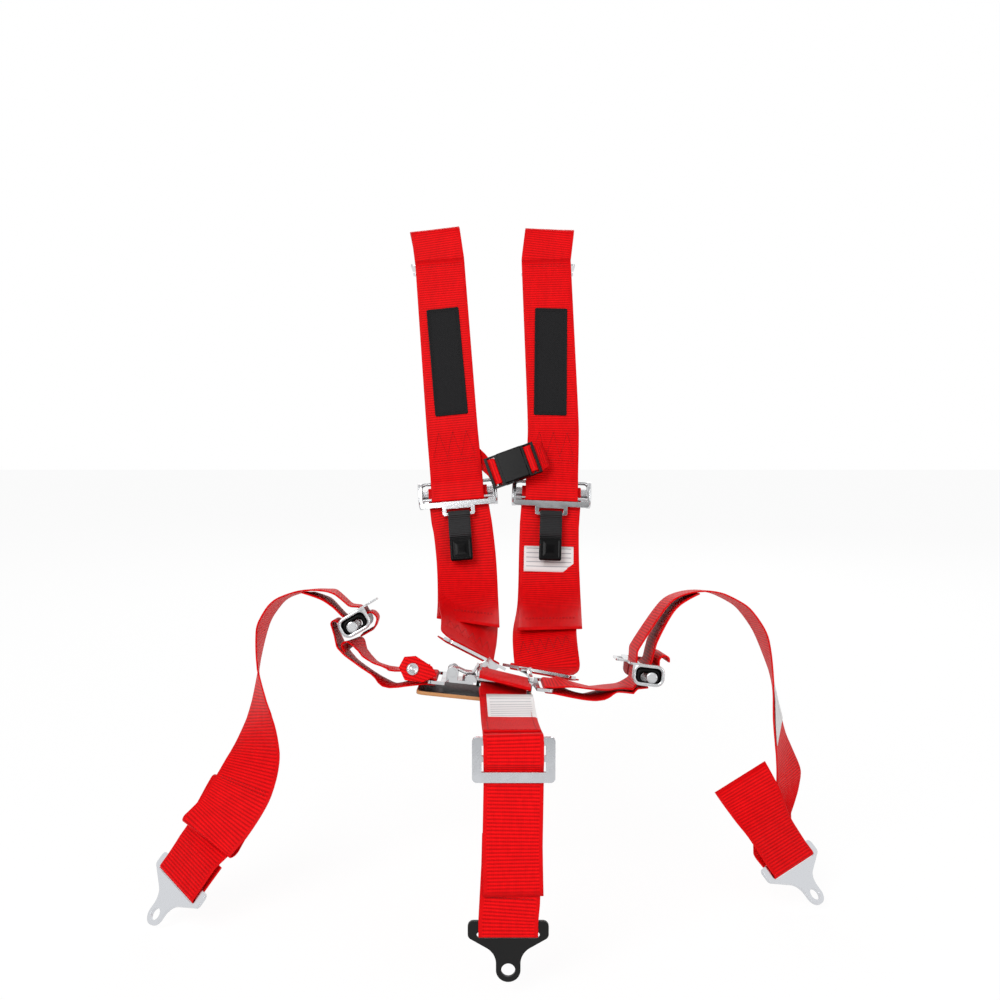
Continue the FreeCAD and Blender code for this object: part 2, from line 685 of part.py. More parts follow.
def latch_lever(frame):
    """Hand lever: a knuckle on the pivot pin with a rising arm."""
    half = size("lever_half")
    body = new_body("latch_lever")
    knuckle = new_sketch(body, "XZ_Plane", -half)
    draw_circle(knuckle, 0, 0, size("pivot_radius") + 2.4)
    draw_circle(knuckle, 0, 0, size("pivot_radius") + size("pivot_play"))
    pad(body, knuckle, half * 2)
    arm = new_sketch(body, "XY_Plane", size("pivot_radius") + 1.0)
    reach = size("lever_reach")
    outline = rectangle(as_dim(-2.0), reach, -half, half)
    draw_outline(arm, outline)
    plate = pad(body, arm, size("lever_thick"))
    round_corners(body, plate, "XY_Plane", outline[1:3], 5.0)
    body.Placement = frame
    parts.append(body)


def pivot_pin(frame):
    """Pivot pin with a head outside each ear."""
    reach = size("latch_body_half")
    body = new_body("latch_pivot_pin")
    for start, length, extra in ((-reach, reach * 2, 0.0), (reach, as_dim(1.2), 1.6),
                                 (-reach - 1.2, as_dim(1.2), 1.6)):
        sketch = new_sketch(body, "XZ_Plane", start)
        draw_circle(sketch, size("pin_ear_at"), size("pivot_rise"), size("pivot_radius") + extra)
        pad(body, sketch, length)
    body.Placement = frame
    parts.append(body)


def latch_spring(frame):
    """Torsion spring beside the lever, as the closed sleeve that its coils fill."""
    body = new_body("latch_spring")
    sketch = new_sketch(body, "XZ_Plane", size("lever_half") + 0.4)
    at, rise = size("pin_ear_at"), size("pivot_rise")
    draw_circle(sketch, at, rise, size("pivot_radius") + 1.6)
    draw_circle(sketch, at, rise, size("pivot_radius") + 0.4)
    pad(body, sketch, size("latch_body_half") - size("ear_thick") - size("lever_half") - 0.8)
    body.Placement = frame
    parts.append(body)


def backing_pad(frame):
    """Stitched leather pad under the latch."""
    half = size("pad_half")
    body = new_body("latch_backing_pad")
    sketch = new_sketch(body, "XY_Plane", -size("pad_drop") - size("pad_thick"))
    outline = rectangle(size("pad_from"), size("pad_to"), -half, half)
    draw_outline(sketch, outline)
    plate = pad(body, sketch, size("pad_thick"))
    round_corners(body, plate, "XY_Plane", outline, 8.0)
    body.Placement = frame
    parts.append(body)


def ladder(body, side):
    """Webbing ladder of the sternum buckle: two slots beside a centre bar."""
    reach = size("buckle_body") / 2
    outer = reach + size("ladder_length")
    tall = size("buckle_half")
    slot_tall = size("sternum_web") / 2 + 2.0
    bar = size("ladder_bar")
    sketch = new_sketch(body, "XY_Plane", -2.0)
    near, far = reach * side, outer * side
    draw_outline(sketch, rectangle(near, far, -tall, tall))
    outer_slot = (outer - bar) * side
    inner_slot = (reach + bar) * side
    width = (size("ladder_length") - bar * 2) * 0.36
    step = width * side
    draw_outline(sketch, rectangle(outer_slot - step, outer_slot, -slot_tall, slot_tall))
    draw_outline(sketch, rectangle(inner_slot, inner_slot + step, -slot_tall, slot_tall))
    return pad(body, sketch, 4.0)


def buckle_socket(frame):
    """Open-ended shell with a side window on each edge and a webbing ladder."""
    reach = size("buckle_body") / 2
    tall = size("buckle_half")
    thick = size("buckle_thick")
    wall = size("shell_wall")
    body = new_body("sternum_buckle_socket")
    ladder(body, -1)
    shell = new_sketch(body, "YZ_Plane", -reach)
    outer = rectangle(-tall, tall, -(thick / 2), thick / 2)
    draw_outline(shell, outer)
    draw_outline(shell, rectangle(-(tall - wall), tall - wall, -(thick / 2 - wall),
                                  thick / 2 - wall))
    tube = pad(body, shell, reach * 2)
    round_corners(body, tube, "YZ_Plane", outer, 2.0)
    cap = new_sketch(body, "YZ_Plane", -reach)
    draw_outline(cap, rectangle(-tall + 0.6, tall - 0.6, -(thick / 2 - wall) - 0.5,
                                thick / 2 - wall + 0.5))
    pad(body, cap, wall)
    window = new_sketch(body, "XZ_Plane", -tall - 1)
    draw_outline(window, rectangle(-reach + 6, as_dim(1.0), -(thick / 2 - wall),
                                   thick / 2 - wall))
    pocket = body.newObject("PartDesign::Pocket", "Windows")
    pocket.Profile = window
    pocket.Reversed = True
    pocket.Length = (tall * 2 + 2).number
    pocket.setExpression("Length", (tall * 2 + 2).text)
    body.Tip = pocket
    doc.recompute()
    body.Placement = frame
    parts.append(body)


def buckle_plug(frame):
    """Plug: a webbing ladder, a cross rib and a centre guide."""
    reach = size("buckle_body") / 2
    inside = size("buckle_thick") / 2 - size("shell_wall") - size("buckle_play")
    tall = size("buckle_half")
    body = new_body("sternum_buckle_plug")
    ladder(body, 1)
    rib = new_sketch(body, "XY_Plane", -inside)
    draw_outline(rib, rectangle(reach + size("buckle_play"), reach + 3.2, -tall, tall))
    pad(body, rib, inside * 2)
    guide = new_sketch(body, "XY_Plane", -inside)
    draw_outline(guide, rectangle(reach - size("prong_reach") + 4, reach + 3, as_dim(-5.0),
                                  as_dim(5.0)))
    pad(body, guide, inside * 2)
    body.Placement = frame
    parts.append(body)


def buckle_prong(label, frame, side):
    """Springing side prong with a thumb pad that shows in the socket's window."""
    reach = size("buckle_body") / 2
    inside = size("buckle_thick") / 2 - size("shell_wall") - size("buckle_play")
    tall = size("buckle_half")
    outer = (tall - size("shell_wall") - size("buckle_play")) * side
    inner = outer - size("prong_half") * 2 * side
    tip = reach - size("prong_reach")
    body = new_body(label)
    sketch = new_sketch(body, "XY_Plane", -inside)
    draw_outline(sketch, rectangle(tip, reach - size("buckle_play"), inner, outer))
    pad(body, sketch, inside * 2)
    thumb = new_sketch(body, "XY_Plane", -inside)
    draw_outline(thumb, rectangle(-reach + 7, as_dim(0.0), outer - 0.5 * side, tall * side))
    pad(body, thumb, inside * 2)
    body.Placement = frame
    parts.append(body)


def snap_cap(label, frame):
    """Domed metal cap of a press fastener."""
    body = new_body(label)
    sketch = new_sketch(body, "XY_Plane", size("web_thick"))
    draw_circle(sketch, 0, 0, size("snap_radius"))
    cap = pad(body, sketch, size("snap_height"))
    rim = [f"Edge{index}" for index, edge in enumerate(cap.Shape.Edges, start=1)
           if abs(edge.CenterOfMass.z - num("web_thick") - num("snap_height")) < 1e-3]
    dome = body.newObject("PartDesign::Fillet", "Dome")
    dome.Base = (cap, rim)
    dome.Radius = num("snap_height") * 0.6
    dome.setExpression("Radius", (size("snap_height") * 0.6).text)
    body.Tip = dome
    doc.recompute()
    body.Placement = frame
    parts.append(body)


# ---------------------------------------------------------------- layout

ply = num("web_thick") + num("ply_gap")
wrap = num("bar_gap") + num("web_thick") / 2
face = num("plate_thick") / 2 + wrap

latch_frame = frame_from((-24, 170, 207), (0.9945, 0, -0.1045), (0, 0.9925, -0.122))
left_adjuster = frame_from((-57, 440, 366), (0.9966, 0, 0.082), (-0.08, 0.42, 0.90))
right_adjuster = frame_from((54, 440, 366), (0.9991, 0, -0.042), (0.04, 0.42, 0.90))
left_lap_adjuster = frame_from((-151, 205, 261), (-0.07, 0.985, -0.16), (-0.86, 0, -0.51))
right_lap_adjuster = frame_from((136, 200, 212), (0, -0.988, 0.14), (0.99, 0, -0.12))
left_tip = frame_from((-33, 252, 216), (0.716, 0.486, -0.493), (-0.525, 0.843, 0.069))
right_tip = frame_from((33.2, 240, 200.5), (0.872, -0.485, -0.048), (0.449, 0.847, -0.287))
left_lap_plate = frame_from((-338, 130, -11), (0.64, -0.74, -0.19), (26.5, 13.5, 36.7))
right_lap_plate = frame_from((306, 170, -9), (0.71, 0.69, 0.08), (-24.6, 21.6, 32))
crotch_plate = frame_from((0, 0, 0), (1, 0, 0), (0, 0, 1))
crotch_slide_frame = frame_from((4.5, 0, 185), (1, 0, 0), (0, 0, 1))
buckle_frame = frame_from((8.4, 427, 400.7), (0.94, 0, 0.342), (-0.3, 0.38, 0.87))


def shoulder(side, adjuster, front, over, lower, tip, tip_neck, rear):
    """One shoulder belt: upper and lower webbing, adjuster, tip and rear fittings."""
    name = f"shoulder_{side}"
    adjuster_frame(name + "_adjuster_frame", adjuster)
    slide_bar(name + "_adjuster_slide_bar", adjuster)
    pull_tab(name, adjuster)
    arc = num("fixed_radius") + wrap
    below, ahead = num("fixed_below"), num("fixed_front")
    across = (1, 0, 0)
    bar_wrap = in_frame(adjuster, [
        (0, 20, ahead + 0.6, 14, across), (0, 12, ahead + arc, 8, across),
        (0, -below - arc, ahead + arc, arc, across),
        (0, -below - arc, ahead - arc, arc, across), (0, 12, ahead - arc + 0.1, 10, across),
        (0, 20, ahead - 1.2, 14, across)])
    lean = V(*front[0][4]).cross(V(*[front[0][i] - front[-1][i] for i in range(3)])).normalize()
    half = ply / 2
    front_ply = [(x + lean.x * half, y + lean.y * half, z + lean.z * half, r, w)
                 for x, y, z, r, w in front]
    back_ply = [(x - lean.x * half, y - lean.y * half, z - lean.z * half, r, w)
                for x, y, z, r, w in reversed(front)]
    route = front_ply + bar_wrap + back_ply + over + rear_route(rear)
    parts.append(ribbon(name + "_upper_webbing", route, num("upper_web"), num("web_thick")))
    rear_slide(name + "_rear_slide", rear)
    anchor = rear * FreeCAD.Placement(V(0, 92, 0), FreeCAD.Rotation(V(0, 0, 1), 180))
    anchor_plate(name + "_rear_anchor_plate", anchor, "upper_web", "bolt_to_slot")
    bar = num("slide_radius") + wrap
    rest, behind = num("slide_rest"), num("slide_behind")
    over_bar = in_frame(adjuster, [
        (0, -30, -behind - bar, 20, across), (0, rest + bar, -behind - bar, bar, across),
        (0, rest + bar, -behind + bar, bar, across), (0, -12, -behind + bar, 14, across)])
    through_tip = in_frame(tip, [
        (0, 20, face + 1.0, 8, across), (0, 4, face, 4, across),
        (0, num("slot_height") / 2 - wrap, face, wrap + 0.5, across),
        (0, num("slot_height") / 2 - wrap, -face, wrap + 0.5, across),
        (0, 8, -face, 4, across), (0, 26, -face + 1.4, 0, across)])
    tail = [(x, y - ply * 1.1, z, r, w) for x, y, z, r, w in lower[:4]]
    route = list(reversed(through_tip)) + list(reversed(lower)) + over_bar + tail
    parts.append(ribbon(name + "_lower_webbing", route, num("wide_web"), num("web_thick")))
    link_tip(name + "_link_tip", tip, tip_neck, side + "_eye_at")
    half_patch, length = num("patch_half"), num("patch_length")
    outline = [(-half_patch, -length / 2), (half_patch, -length / 2),
               (half_patch, length / 2), (-half_patch, length / 2)]
    top, foot = V(*front[0][:3]), V(*front[1][:3])
    patch_at = frame_from(top + (foot - top) * num("patch_share") + lean * (ply + 0.1),
                          front[0][4], top - foot)
    parts.append(slab(name + "_patch", patch_at, outline, num("patch_thick")))


def rear_route(rear):
    """Through the rear slide, round the anchor plate's bar and back through the slide."""
    across = (1, 0, 0)
    hop, half = 4.2, ply / 2
    bar, window = num("slide_bar"), num("slide_window")
    near = bar / 2 + window
    weave = [(-near - bar - 4, -hop), (-near + 1, -hop), (-bar / 2 - 1, hop),
             (bar / 2 + 1, hop), (near - 1, -hop), (near + bar + 4, -hop)]
    out = [(0, y, z - half, 5, across) for y, z in weave]
    back = [(0, y, z + half, 5, across) for y, z in reversed(weave)]
    low = 92 - (num("bolt_to_slot") + num("slot_height") - wrap)
    end = 92 - (num("bolt_to_slot") + num("slot_height") + num("loop_bar"))
    loop = [(0, end, -face, 4, across), (0, low, -face, wrap + 0.5, across),
            (0, low, face, wrap + 0.5, across), (0, end, face, 4, across)]
    return in_frame(rear, out + loop + back)


left_width = (1, 0, 0.1)
left_front = [(-83, 553, 651, 0, left_width), (-65, 476, 441, 40, left_width)]
left_over = [(-89, 566, 690, 8, left_width), (-92, 590, 692, 8, left_width),
             (-96, 700, 684, 60, (1, 0, 0.05))]
left_lower = [(-51, 428, 330, 30, (1, 0, 0.05)), (-46, 416, 291, 40, (1, 0.05, 0)),
              (-44, 394, 255, 40, (0.98, 0.15, -0.06)), (-43, 366, 240, 50, (0.94, 0.25, -0.2)),
              (-41, 310, 229, 40, (0.80, 0.42, -0.40))]
left_neck = [(-14, 221, 213.5, 0, (0.716, 0.486, -0.493)), (-19, 207, 213, 8, (0.6, 0.3, -0.7)),
             (-27.5, 196, 211, 8, (0.2, 0.1, -1)), (-28.1, 182, 209.4, 0, (0, -0.12, -1))]
right_width = (1, 0, -0.02)
right_front = [(51, 553, 651, 0, right_width), (58, 476, 441, 40, right_width)]
right_over = [(56, 566, 690, 8, right_width), (57, 590, 692, 8, right_width),
              (61, 700, 684, 60, (1, 0, 0))]
right_lower = [(51, 428, 330, 30, right_width), (50, 416, 291, 40, (1, -0.02, 0)),
               (49, 394, 255, 40, (0.99, -0.1, 0)), (47, 362, 239, 50, (0.97, -0.2, 0)),
               (40, 300, 229, 40, (0.92, -0.36, 0))]
right_neck = [(17.8, 213, 209.6, 0, (0.872, -0.485, -0.048)), (19, 201, 208.5, 6, (0.7, -0.4, -0.5)),
              (22.2, 193, 206, 6, (0.2, -0.1, -1)), (22.6, 182, 204.5, 0, (0, -0.12, -1))]


def lap(side, adjuster, plate, outer_near, bar_wrap, inner, square=True):
    """One lap belt: outer and inner webbing, adjuster and anchor plate."""
    name = f"lap_{side}"
    adjuster_frame(name + "_adjuster_frame", adjuster)
    slide_bar(name + "_adjuster_slide_bar", adjuster)
    anchor_plate(name + "_anchor_plate", plate, "wide_web", "bolt_to_slot")
    route = outer_near + in_frame(adjuster, bar_wrap[0]) + bar_wrap[1]
    parts.append(ribbon(name + "_outer_webbing", route, num("wide_web"), num("web_thick"),
                        square=square))
    parts.append(ribbon(name + "_inner_webbing", inner, num("wide_web"), num("web_thick")))


def build_laps():
    arc = num("fixed_radius") + wrap
    below, ahead = num("fixed_below"), num("fixed_front")
    near = (-1, 0, 0)
    low = num("bolt_to_slot") + num("slot_height") - wrap
    top = num("bolt_to_slot") + num("slot_height") + num("loop_bar")
    plate_loop = in_frame(left_lap_plate, [
        (0, top + 26, -face - 0.4, 0, (1, 0, 0)), (0, top, -face, 4, (1, 0, 0)),
        (0, low, -face, wrap + 0.5, (1, 0, 0)), (0, low, face, wrap + 0.5, (1, 0, 0)),
        (0, top, face, 8, (1, 0, 0)), (0, top + 22, face + 1, 10, (1, 0, 0))])
    fold = (0.79, -0.52, -0.31)
    flat = (0.0, -0.985, 0.16)
    level = (0.03, -0.97, 0.235)
    left_outer = plate_loop + [
        (-278, 163, 70, 14, (0.74, -0.6, -0.3)), (-263, 176, 97, 6, fold),
        (-266, 171, 99, 3, fold), (-280, 158, 72, 8, fold), (-289, 149, 57, 6, fold),
        (-293, 141, 60, 6, fold), (-277, 150, 76, 10, fold), (-259, 163, 101, 30, fold),
        (-249, 178, 131, 30, (0.7, -0.66, -0.25)), (-247, 193, 169, 40, (0.45, -0.88, -0.1)),
        (-250, 202, 215, 40, (0.15, -0.98, 0)), (-246, 207, 259, 25, flat),
        (-230, 208, 284, 25, flat), (-199, 208, 294, 40, flat), (-174, 206, 292, 25, flat)]
    left_wrap = [
        (0, 0.9, 31, 20, near), (0, -3, 16, 8, near), (0, -below - arc, ahead + arc, arc, near),
        (0, -below - arc, ahead - arc, arc, near), (0, -1, ahead - arc, 8, near),
        (0, 7, 8.5, 8, near), (0, 10.5, 23, 10, near)]
    left_back = [(-179, 206, 284, 20, flat), (-199, 208, 289, 0, flat)]
    slot_mid = num("latch_slot_at") - num("slot_height") + wrap
    bar_mid = num("latch_slot_at") - num("slot_height") - num("latch_bar")
    turn = wrap + 0.5
    back = (0, 1, 0)
    left_tail = in_frame(left_lap_adjuster, [
        (0, 2, -15.0, 0, near), (0, -13, -15.3, 6, near), (0, -21.5, -8, 6, near),
        (0, -19, 0.5, 5, near), (0, -8, 2.0, 8, near), (0, 12.5, 2.6, 4, near),
        (0, 15.5, 11.5, 5, near), (0, 20.5, 11.5, 5, near), (0, 23, -1, 8, near)])
    latch_loop = in_frame(latch_frame, [
        (bar_mid - 14, 0, -4.8, 14, (0, -1, 0)), (bar_mid, 0, -face, 6, (0, -1, 0)),
        (slot_mid, 0, -face, turn, (0, -1, 0)), (slot_mid, 0, face, turn, (0, -1, 0)),
        (bar_mid, 0, face, 6, (0, -1, 0)), (bar_mid - 12, 0, 8, 12, (0, -1, 0))])
    left_inner = left_tail + [
        (-167, 201, 235.5, 14, flat), (-156, 197, 224, 18, level), (-135, 189, 212.5, 20, level),
        (-111.5, 179, 200.8, 16, level)] + latch_loop + [
        (-99.5, 179, 217.9, 16, level), (-120, 186, 218.2, 16, level),
        (-136, 192, 224.5, 12, level),
        (-146, 196, 235, 5, flat), (-151, 198, 243, 4, flat), (-158, 200, 242, 4, flat),
        (-156, 199, 234.5, 0, flat)]
    lap("left", left_lap_adjuster, left_lap_plate, left_outer, (left_wrap, left_back),
        left_inner)
    near_plate = (-0.714, -0.694, -0.08)
    leaning = (-0.3, -0.95, 0.05)
    right_outer = [(240, 220, 95, 0, (-0.95, -0.3, 0.1)), (255, 211, 71, 30, (-0.9, -0.43, 0)),
                   (267, 201, 49, 30, near_plate)] + in_frame(
        right_lap_plate, [
            (0, top, face, 8, near),
            (0, low, face, wrap + 0.5, near), (0, low, -face, wrap + 0.5, near),
            (0, top, -face, 4, near), (0, top + 12, -face - 1.0, 12, near),
            (3, 63, -5.5, 8, near), (20, 78, -6.5, 12, near), (44, 90, -5, 12, near)]) + [
        (304, 268, 72, 14, (-0.57, -0.82, -0.03)), (297, 268, 100, 20, (-0.43, -0.9, 0)),
        (290.5, 261, 120, 30, (-0.35, -0.94, 0)), (282.6, 250, 151, 40, leaning),
        (275, 243, 196, 40, (-0.15, -0.98, 0.05)), (263, 236, 243, 40, flat),
        (241, 228, 272.5, 30, flat), (214, 220, 287, 30, flat), (184, 212, 294, 40, flat),
        (159, 204, 285, 25, flat)]
    across = (1, 0, 0)
    right_wrap = [
        (0, -7.0, 30, 20, across), (0, -11.6, 20, 8, across),
        (0, -below - arc, ahead - arc, arc, across), (0, -3, ahead - arc, 8, across),
        (0, 3.5, 9, 8, across), (0, 5.0, 30, 16, across)]
    right_back = [(163.5, 203, 278.5, 25, flat), (188, 210, 288, 0, flat)]
    slot_mid = num("link_slot_at") + num("slot_height") - wrap
    bar_mid = num("link_slot_at") + num("slot_height") + num("latch_bar")
    lift = num("link_lift")
    link_loop = in_frame(latch_frame, [
        (bar_mid + 24, 0, lift - 5.4, 14, (0, -1, 0)), (bar_mid, 0, lift - face, 6, (0, -1, 0)),
        (slot_mid, 0, lift - face, turn, (0, -1, 0)),
        (slot_mid, 0, lift + face, turn, (0, -1, 0)),
        (bar_mid, 0, lift + face, 6, (0, -1, 0)), (bar_mid + 14, 0, lift + 5.6, 12, (0, -1, 0))])
    right_tail = in_frame(right_lap_adjuster, [
        (0, -16, -19, 8, across), (0, -8.8, -12, 6, across), (0, -8.4, 2.0, 5, across),
        (0, 11.5, 2.6, 4, across), (0, 10.5, 15, 5, across), (0, 15, 19.5, 4, across),
        (0, 20, 17.5, 3, across), (0, 20.5, 13, 0, across)])
    under = in_frame(right_lap_adjuster, [
        (0, 3, -13.8, 0, across), (0, -7, -16, 8, across), (0, -15, -22.5, 8, across)])
    right_inner = under + [(97, 191, 192, 20, level), (82, 183, 189.5, 20, level)] + link_loop + [
        (73.5, 179, 202, 14, level), (84, 184, 197, 16, level), (99, 192, 196, 14, level)
        ] + right_tail
    lap("right", right_lap_adjuster, right_lap_plate, right_outer, (right_wrap, right_back),
        right_inner, square=False)
    label = [(288.1, 254.0, 132.2, 0, (-0.36, -0.93, 0.03)), (283.9, 249.6, 151.2, 40, leaning),
             (278.8, 244.9, 182.2, 0, (-0.2, -0.98, 0.05))]
    parts.append(ribbon("lap_right_label", label, num("wide_web") - 14, num("label_thick")))
    tab_frame = frame_from((-88, 135.5, 227.5), (0.95, 0, -0.3), (0.12, 0.35, 0.9))
    parts.append(slab("lap_left_snap_tab", tab_frame,
                      [(-13, 9), (-3, 13), (15, 8), (22, 1), (11, -9), (-6, -12), (-15, -2)],
                      num("web_thick")))
    snap_cap("lap_left_snap_cap", tab_frame * FreeCAD.Placement(V(-2, 0, 0), FreeCAD.Rotation()))


def build_crotch():
    anchor_plate("crotch_anchor_plate", crotch_plate, "crotch_web", "crotch_bolt_to_slot")
    crotch_slide("crotch_slide", crotch_slide_frame)
    mid, window = num("crotch_slide_mid") / 2, num("crotch_window")
    low_bar = mid + window
    across = (1, 0, 0)
    high = 7.0
    deep = 9.5
    at = (num("left_eye_at") + num("right_eye_at")) / 2
    lift = num("link_lift")
    tilt = (0.985, 0, -0.17)
    over = in_frame(latch_frame, [
        (at, -36, 5.2, 0, tilt), (at, -deep - 12, high + lift, 14, tilt),
        (at, deep, high + lift, 5, tilt), (at, deep, lift - high, 5, tilt),
        (at, -deep - 2, lift - high, 8, tilt)])
    main = over + [
        (-1, 127, 204.8, 10, (1, 0, -0.06)), (0, 108, 198.5, 20, across),
        (1.5, 70, 196, 40, across), (3, 32, 200.5, 30, across), (4, -3.2, 206.0, 3, across)]
    threaded = in_frame(crotch_slide_frame, [
        (0, 12, face, 8, across), (0, -mid - 1, face, 3, across),
        (0, -low_bar + 1, -face, 3, across), (0, -low_bar - 10, -face, 8, across)])
    tail = [(4.3, 1.5, 150, 30, across), (3.5, -3.0, 110, 30, across),
            (4.4, -4.8, 67, 0, across)]
    route = main + threaded + tail
    pull_in = (-4, 150)

    def narrowed(spot):
        return 0.92 if spot.y > pull_in[1] else 1.0

    parts.append(ribbon("crotch_webbing", route, num("crotch_web"), num("web_thick"), narrowed))
    loop = in_frame(crotch_plate, [(1.5, 60, face, 10, across)])
    low = num("crotch_bolt_to_slot") + num("slot_height") - wrap
    top = num("crotch_bolt_to_slot") + num("slot_height") + num("loop_bar")
    loop += in_frame(crotch_plate, [
        (0, top, face, 4, across), (0, low, face, wrap + 0.5, across),
        (0, low, -face, wrap + 0.5, across), (0, top, -face, 4, across)])
    head = in_frame(crotch_slide_frame, [
        (0, 18, -face, 0, across), (0, mid, -face, 10, across),
        (0, -low_bar, -face - ply, 10, across), (0, -low_bar - 12, -face - ply, 10, across)])
    route = head + [(3.8, 1.9, 120, 30, across)] + loop + [
        (2.5, 3.6, 90, 20, across), (3.2, 4.2, 118, 0, across)]
    parts.append(ribbon("crotch_anchor_webbing", route, num("crotch_web"), num("web_thick")))
    overlay = [(-1, 124, 205.9, 0, (1, 0, -0.06)), (0, 107.5, 200.4, 20, across),
               (1.5, 70, 197.9, 40, across), (2.9, 33, 202.3, 30, across),
               (3.5, 9, 206.0, 0, across)]
    parts.append(ribbon("crotch_top_ply", overlay, num("crotch_web") - 2, num("web_thick")))
    rise = (num("web_thick") + num("label_thick")) / 2 + 0.2
    label = [(2, 124, 205.7 + rise, 0, (1, 0, -0.06)), (3, 107.5, 200.4 + rise, 20, across),
             (4.4, 72, 198.0 + rise, 0, across)]
    parts.append(ribbon("crotch_label", label, 44, num("label_thick")))


def build_sternum():
    buckle_socket(buckle_frame)
    buckle_plug(buckle_frame)
    buckle_prong("sternum_buckle_upper_prong", buckle_frame, 1)
    buckle_prong("sternum_buckle_lower_prong", buckle_frame, -1)
    reach = num("buckle_body") / 2
    inner, outer = reach + num("ladder_bar"), reach + num("ladder_length") - num("ladder_bar")
    slot = (num("ladder_length") - num("ladder_bar") * 2) * 0.36
    up = (0, 1, 0)
    a, b = inner + slot / 2, outer - slot / 2
    steep = (-0.05, 0.344, 0.939)
    left_route = [(-62, 468.7, 413, 0, steep), (-36, 468.6, 410.9, 8, steep),
                  (-22.3, 444.0, 399.8, 8, steep)] + in_frame(buckle_frame, [
        (-b, 0, -5, 3, up), (-b, 0, 3.2, 1.4, up), (-a, 0, 3.2, 1.4, up),
        (-a, 0, -6.4, 1.4, up), (-outer + 4, 0, -6.9, 0, up)])
    right_route = [(58, 471.1, 419.6, 0, steep), (32, 470.7, 415.5, 10, steep),
                   (16, 461.2, 407.2, 8, steep), (16, 449.2, 406.3, 8, steep)] + in_frame(
        buckle_frame, [
            (a, 0, -12, 4, up), (a, 0, 3.2, 1.4, up), (b, 0, 3.2, 1.4, up), (b, 0, -3.2, 2, up),
            (outer + 5, 0, -4.5, 5, up)]) + [(47, 439, 413.5, 0, (-0.3, 0.4, 0.87))]

    def drawn_in(spot):
        return 0.8 if spot.y > 440 else 1.0

    for name, route in (("left", left_route), ("right", right_route)):
        parts.append(ribbon(f"sternum_{name}_web", route, num("sternum_web"), num("web_thick"),
                            drawn_in, square=False))


left_rear = frame_from((-101, 850, 668), (1, 0, 0), (-0.03, 1, -0.10))
right_rear = frame_from((66, 850, 668), (1, 0, 0), (0.03, 1, -0.10))
shoulder("left", left_adjuster, left_front, left_over, left_lower, left_tip, left_neck,
         left_rear)
shoulder("right", right_adjuster, right_front, right_over, right_lower, right_tip, right_neck,
         right_rear)
right_label = [(50.4, 416.9, 306.4, 0, right_width), (50, 412.2, 291.8, 40, right_width),
               (49.6, 403.0, 278.4, 0, right_width)]
parts.append(ribbon("shoulder_right_label", right_label, num("wide_web") - 12,
                    num("label_thick")))
build_laps()
build_crotch()
build_sternum()
latch_plate(latch_frame)
link_plate(latch_frame)
pivot_pin(latch_frame)
latch_spring(latch_frame)
backing_pad(latch_frame)
lever_place = FreeCAD.Placement(V(num("pin_ear_at"), 0, num("pivot_rise")),
                                FreeCAD.Rotation(V(0, 1, 0), -14))
latch_lever(latch_frame * lever_place)

doc.recompute()
for item in doc.Objects:
    if "Invalid" in item.State or "Error" in item.State:
        raise RuntimeError(f"{item.Label} failed: {item.State}")
os.makedirs("parts", exist_ok=True)
problems = [part.Label for part in parts
            if part.Shape.isNull() or not part.Shape.isValid() or part.Shape.Volume <= 0
            or len(part.Shape.Solids) != 1]
if problems:
    raise RuntimeError("no single valid solid: " + ", ".join(problems))
for part in parts:
    part.Shape.exportStep(f"parts/{part.Label}.step")
print(len(parts), "parts written")
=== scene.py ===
import math

import bpy
from bpy.props import FloatProperty, IntProperty, PointerProperty, StringProperty
from mathutils import Matrix, Vector


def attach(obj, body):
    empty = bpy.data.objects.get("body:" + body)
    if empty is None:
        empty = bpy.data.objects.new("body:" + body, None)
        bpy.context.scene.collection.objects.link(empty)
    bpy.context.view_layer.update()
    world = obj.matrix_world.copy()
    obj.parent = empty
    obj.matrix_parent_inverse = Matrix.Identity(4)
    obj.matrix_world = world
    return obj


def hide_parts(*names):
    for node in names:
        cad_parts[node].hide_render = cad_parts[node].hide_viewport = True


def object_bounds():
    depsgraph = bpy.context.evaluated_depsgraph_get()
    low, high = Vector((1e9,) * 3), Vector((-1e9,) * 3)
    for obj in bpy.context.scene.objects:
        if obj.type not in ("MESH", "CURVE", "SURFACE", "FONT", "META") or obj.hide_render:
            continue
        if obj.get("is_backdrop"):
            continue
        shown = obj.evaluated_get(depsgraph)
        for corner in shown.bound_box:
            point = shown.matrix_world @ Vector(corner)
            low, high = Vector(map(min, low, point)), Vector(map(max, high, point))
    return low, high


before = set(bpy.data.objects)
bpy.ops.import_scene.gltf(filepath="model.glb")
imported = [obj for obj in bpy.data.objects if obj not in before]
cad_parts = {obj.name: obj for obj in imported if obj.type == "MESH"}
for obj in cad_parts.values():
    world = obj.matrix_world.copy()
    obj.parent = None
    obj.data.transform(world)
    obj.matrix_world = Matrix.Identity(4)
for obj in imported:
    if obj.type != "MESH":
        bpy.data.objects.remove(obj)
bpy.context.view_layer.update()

bl_info = {
    "name": "Five-Point Racing Harness",
    "version": (1, 0, 0),
    "blender": (4, 5, 0),
    "location": "3D View > Sidebar > Harness",
    "description": "Webbing, stitching, fittings and studio of a five-point racing harness",
    "category": "Object",
}

MM = 0.001
ROOT = "harness"
SIDES = ("left", "right")
# The fibres' sheen tint, the painted highlight on the pull tape's rib crowns, and the black of the
# studio cards
FIBRE_SHEEN, TAPE_CROWN_HIGHLIGHT, FLOCK_BLACK = "#FF2018", "#1E1E21", "#050505"

# ---------------------------------------------------------------- settings


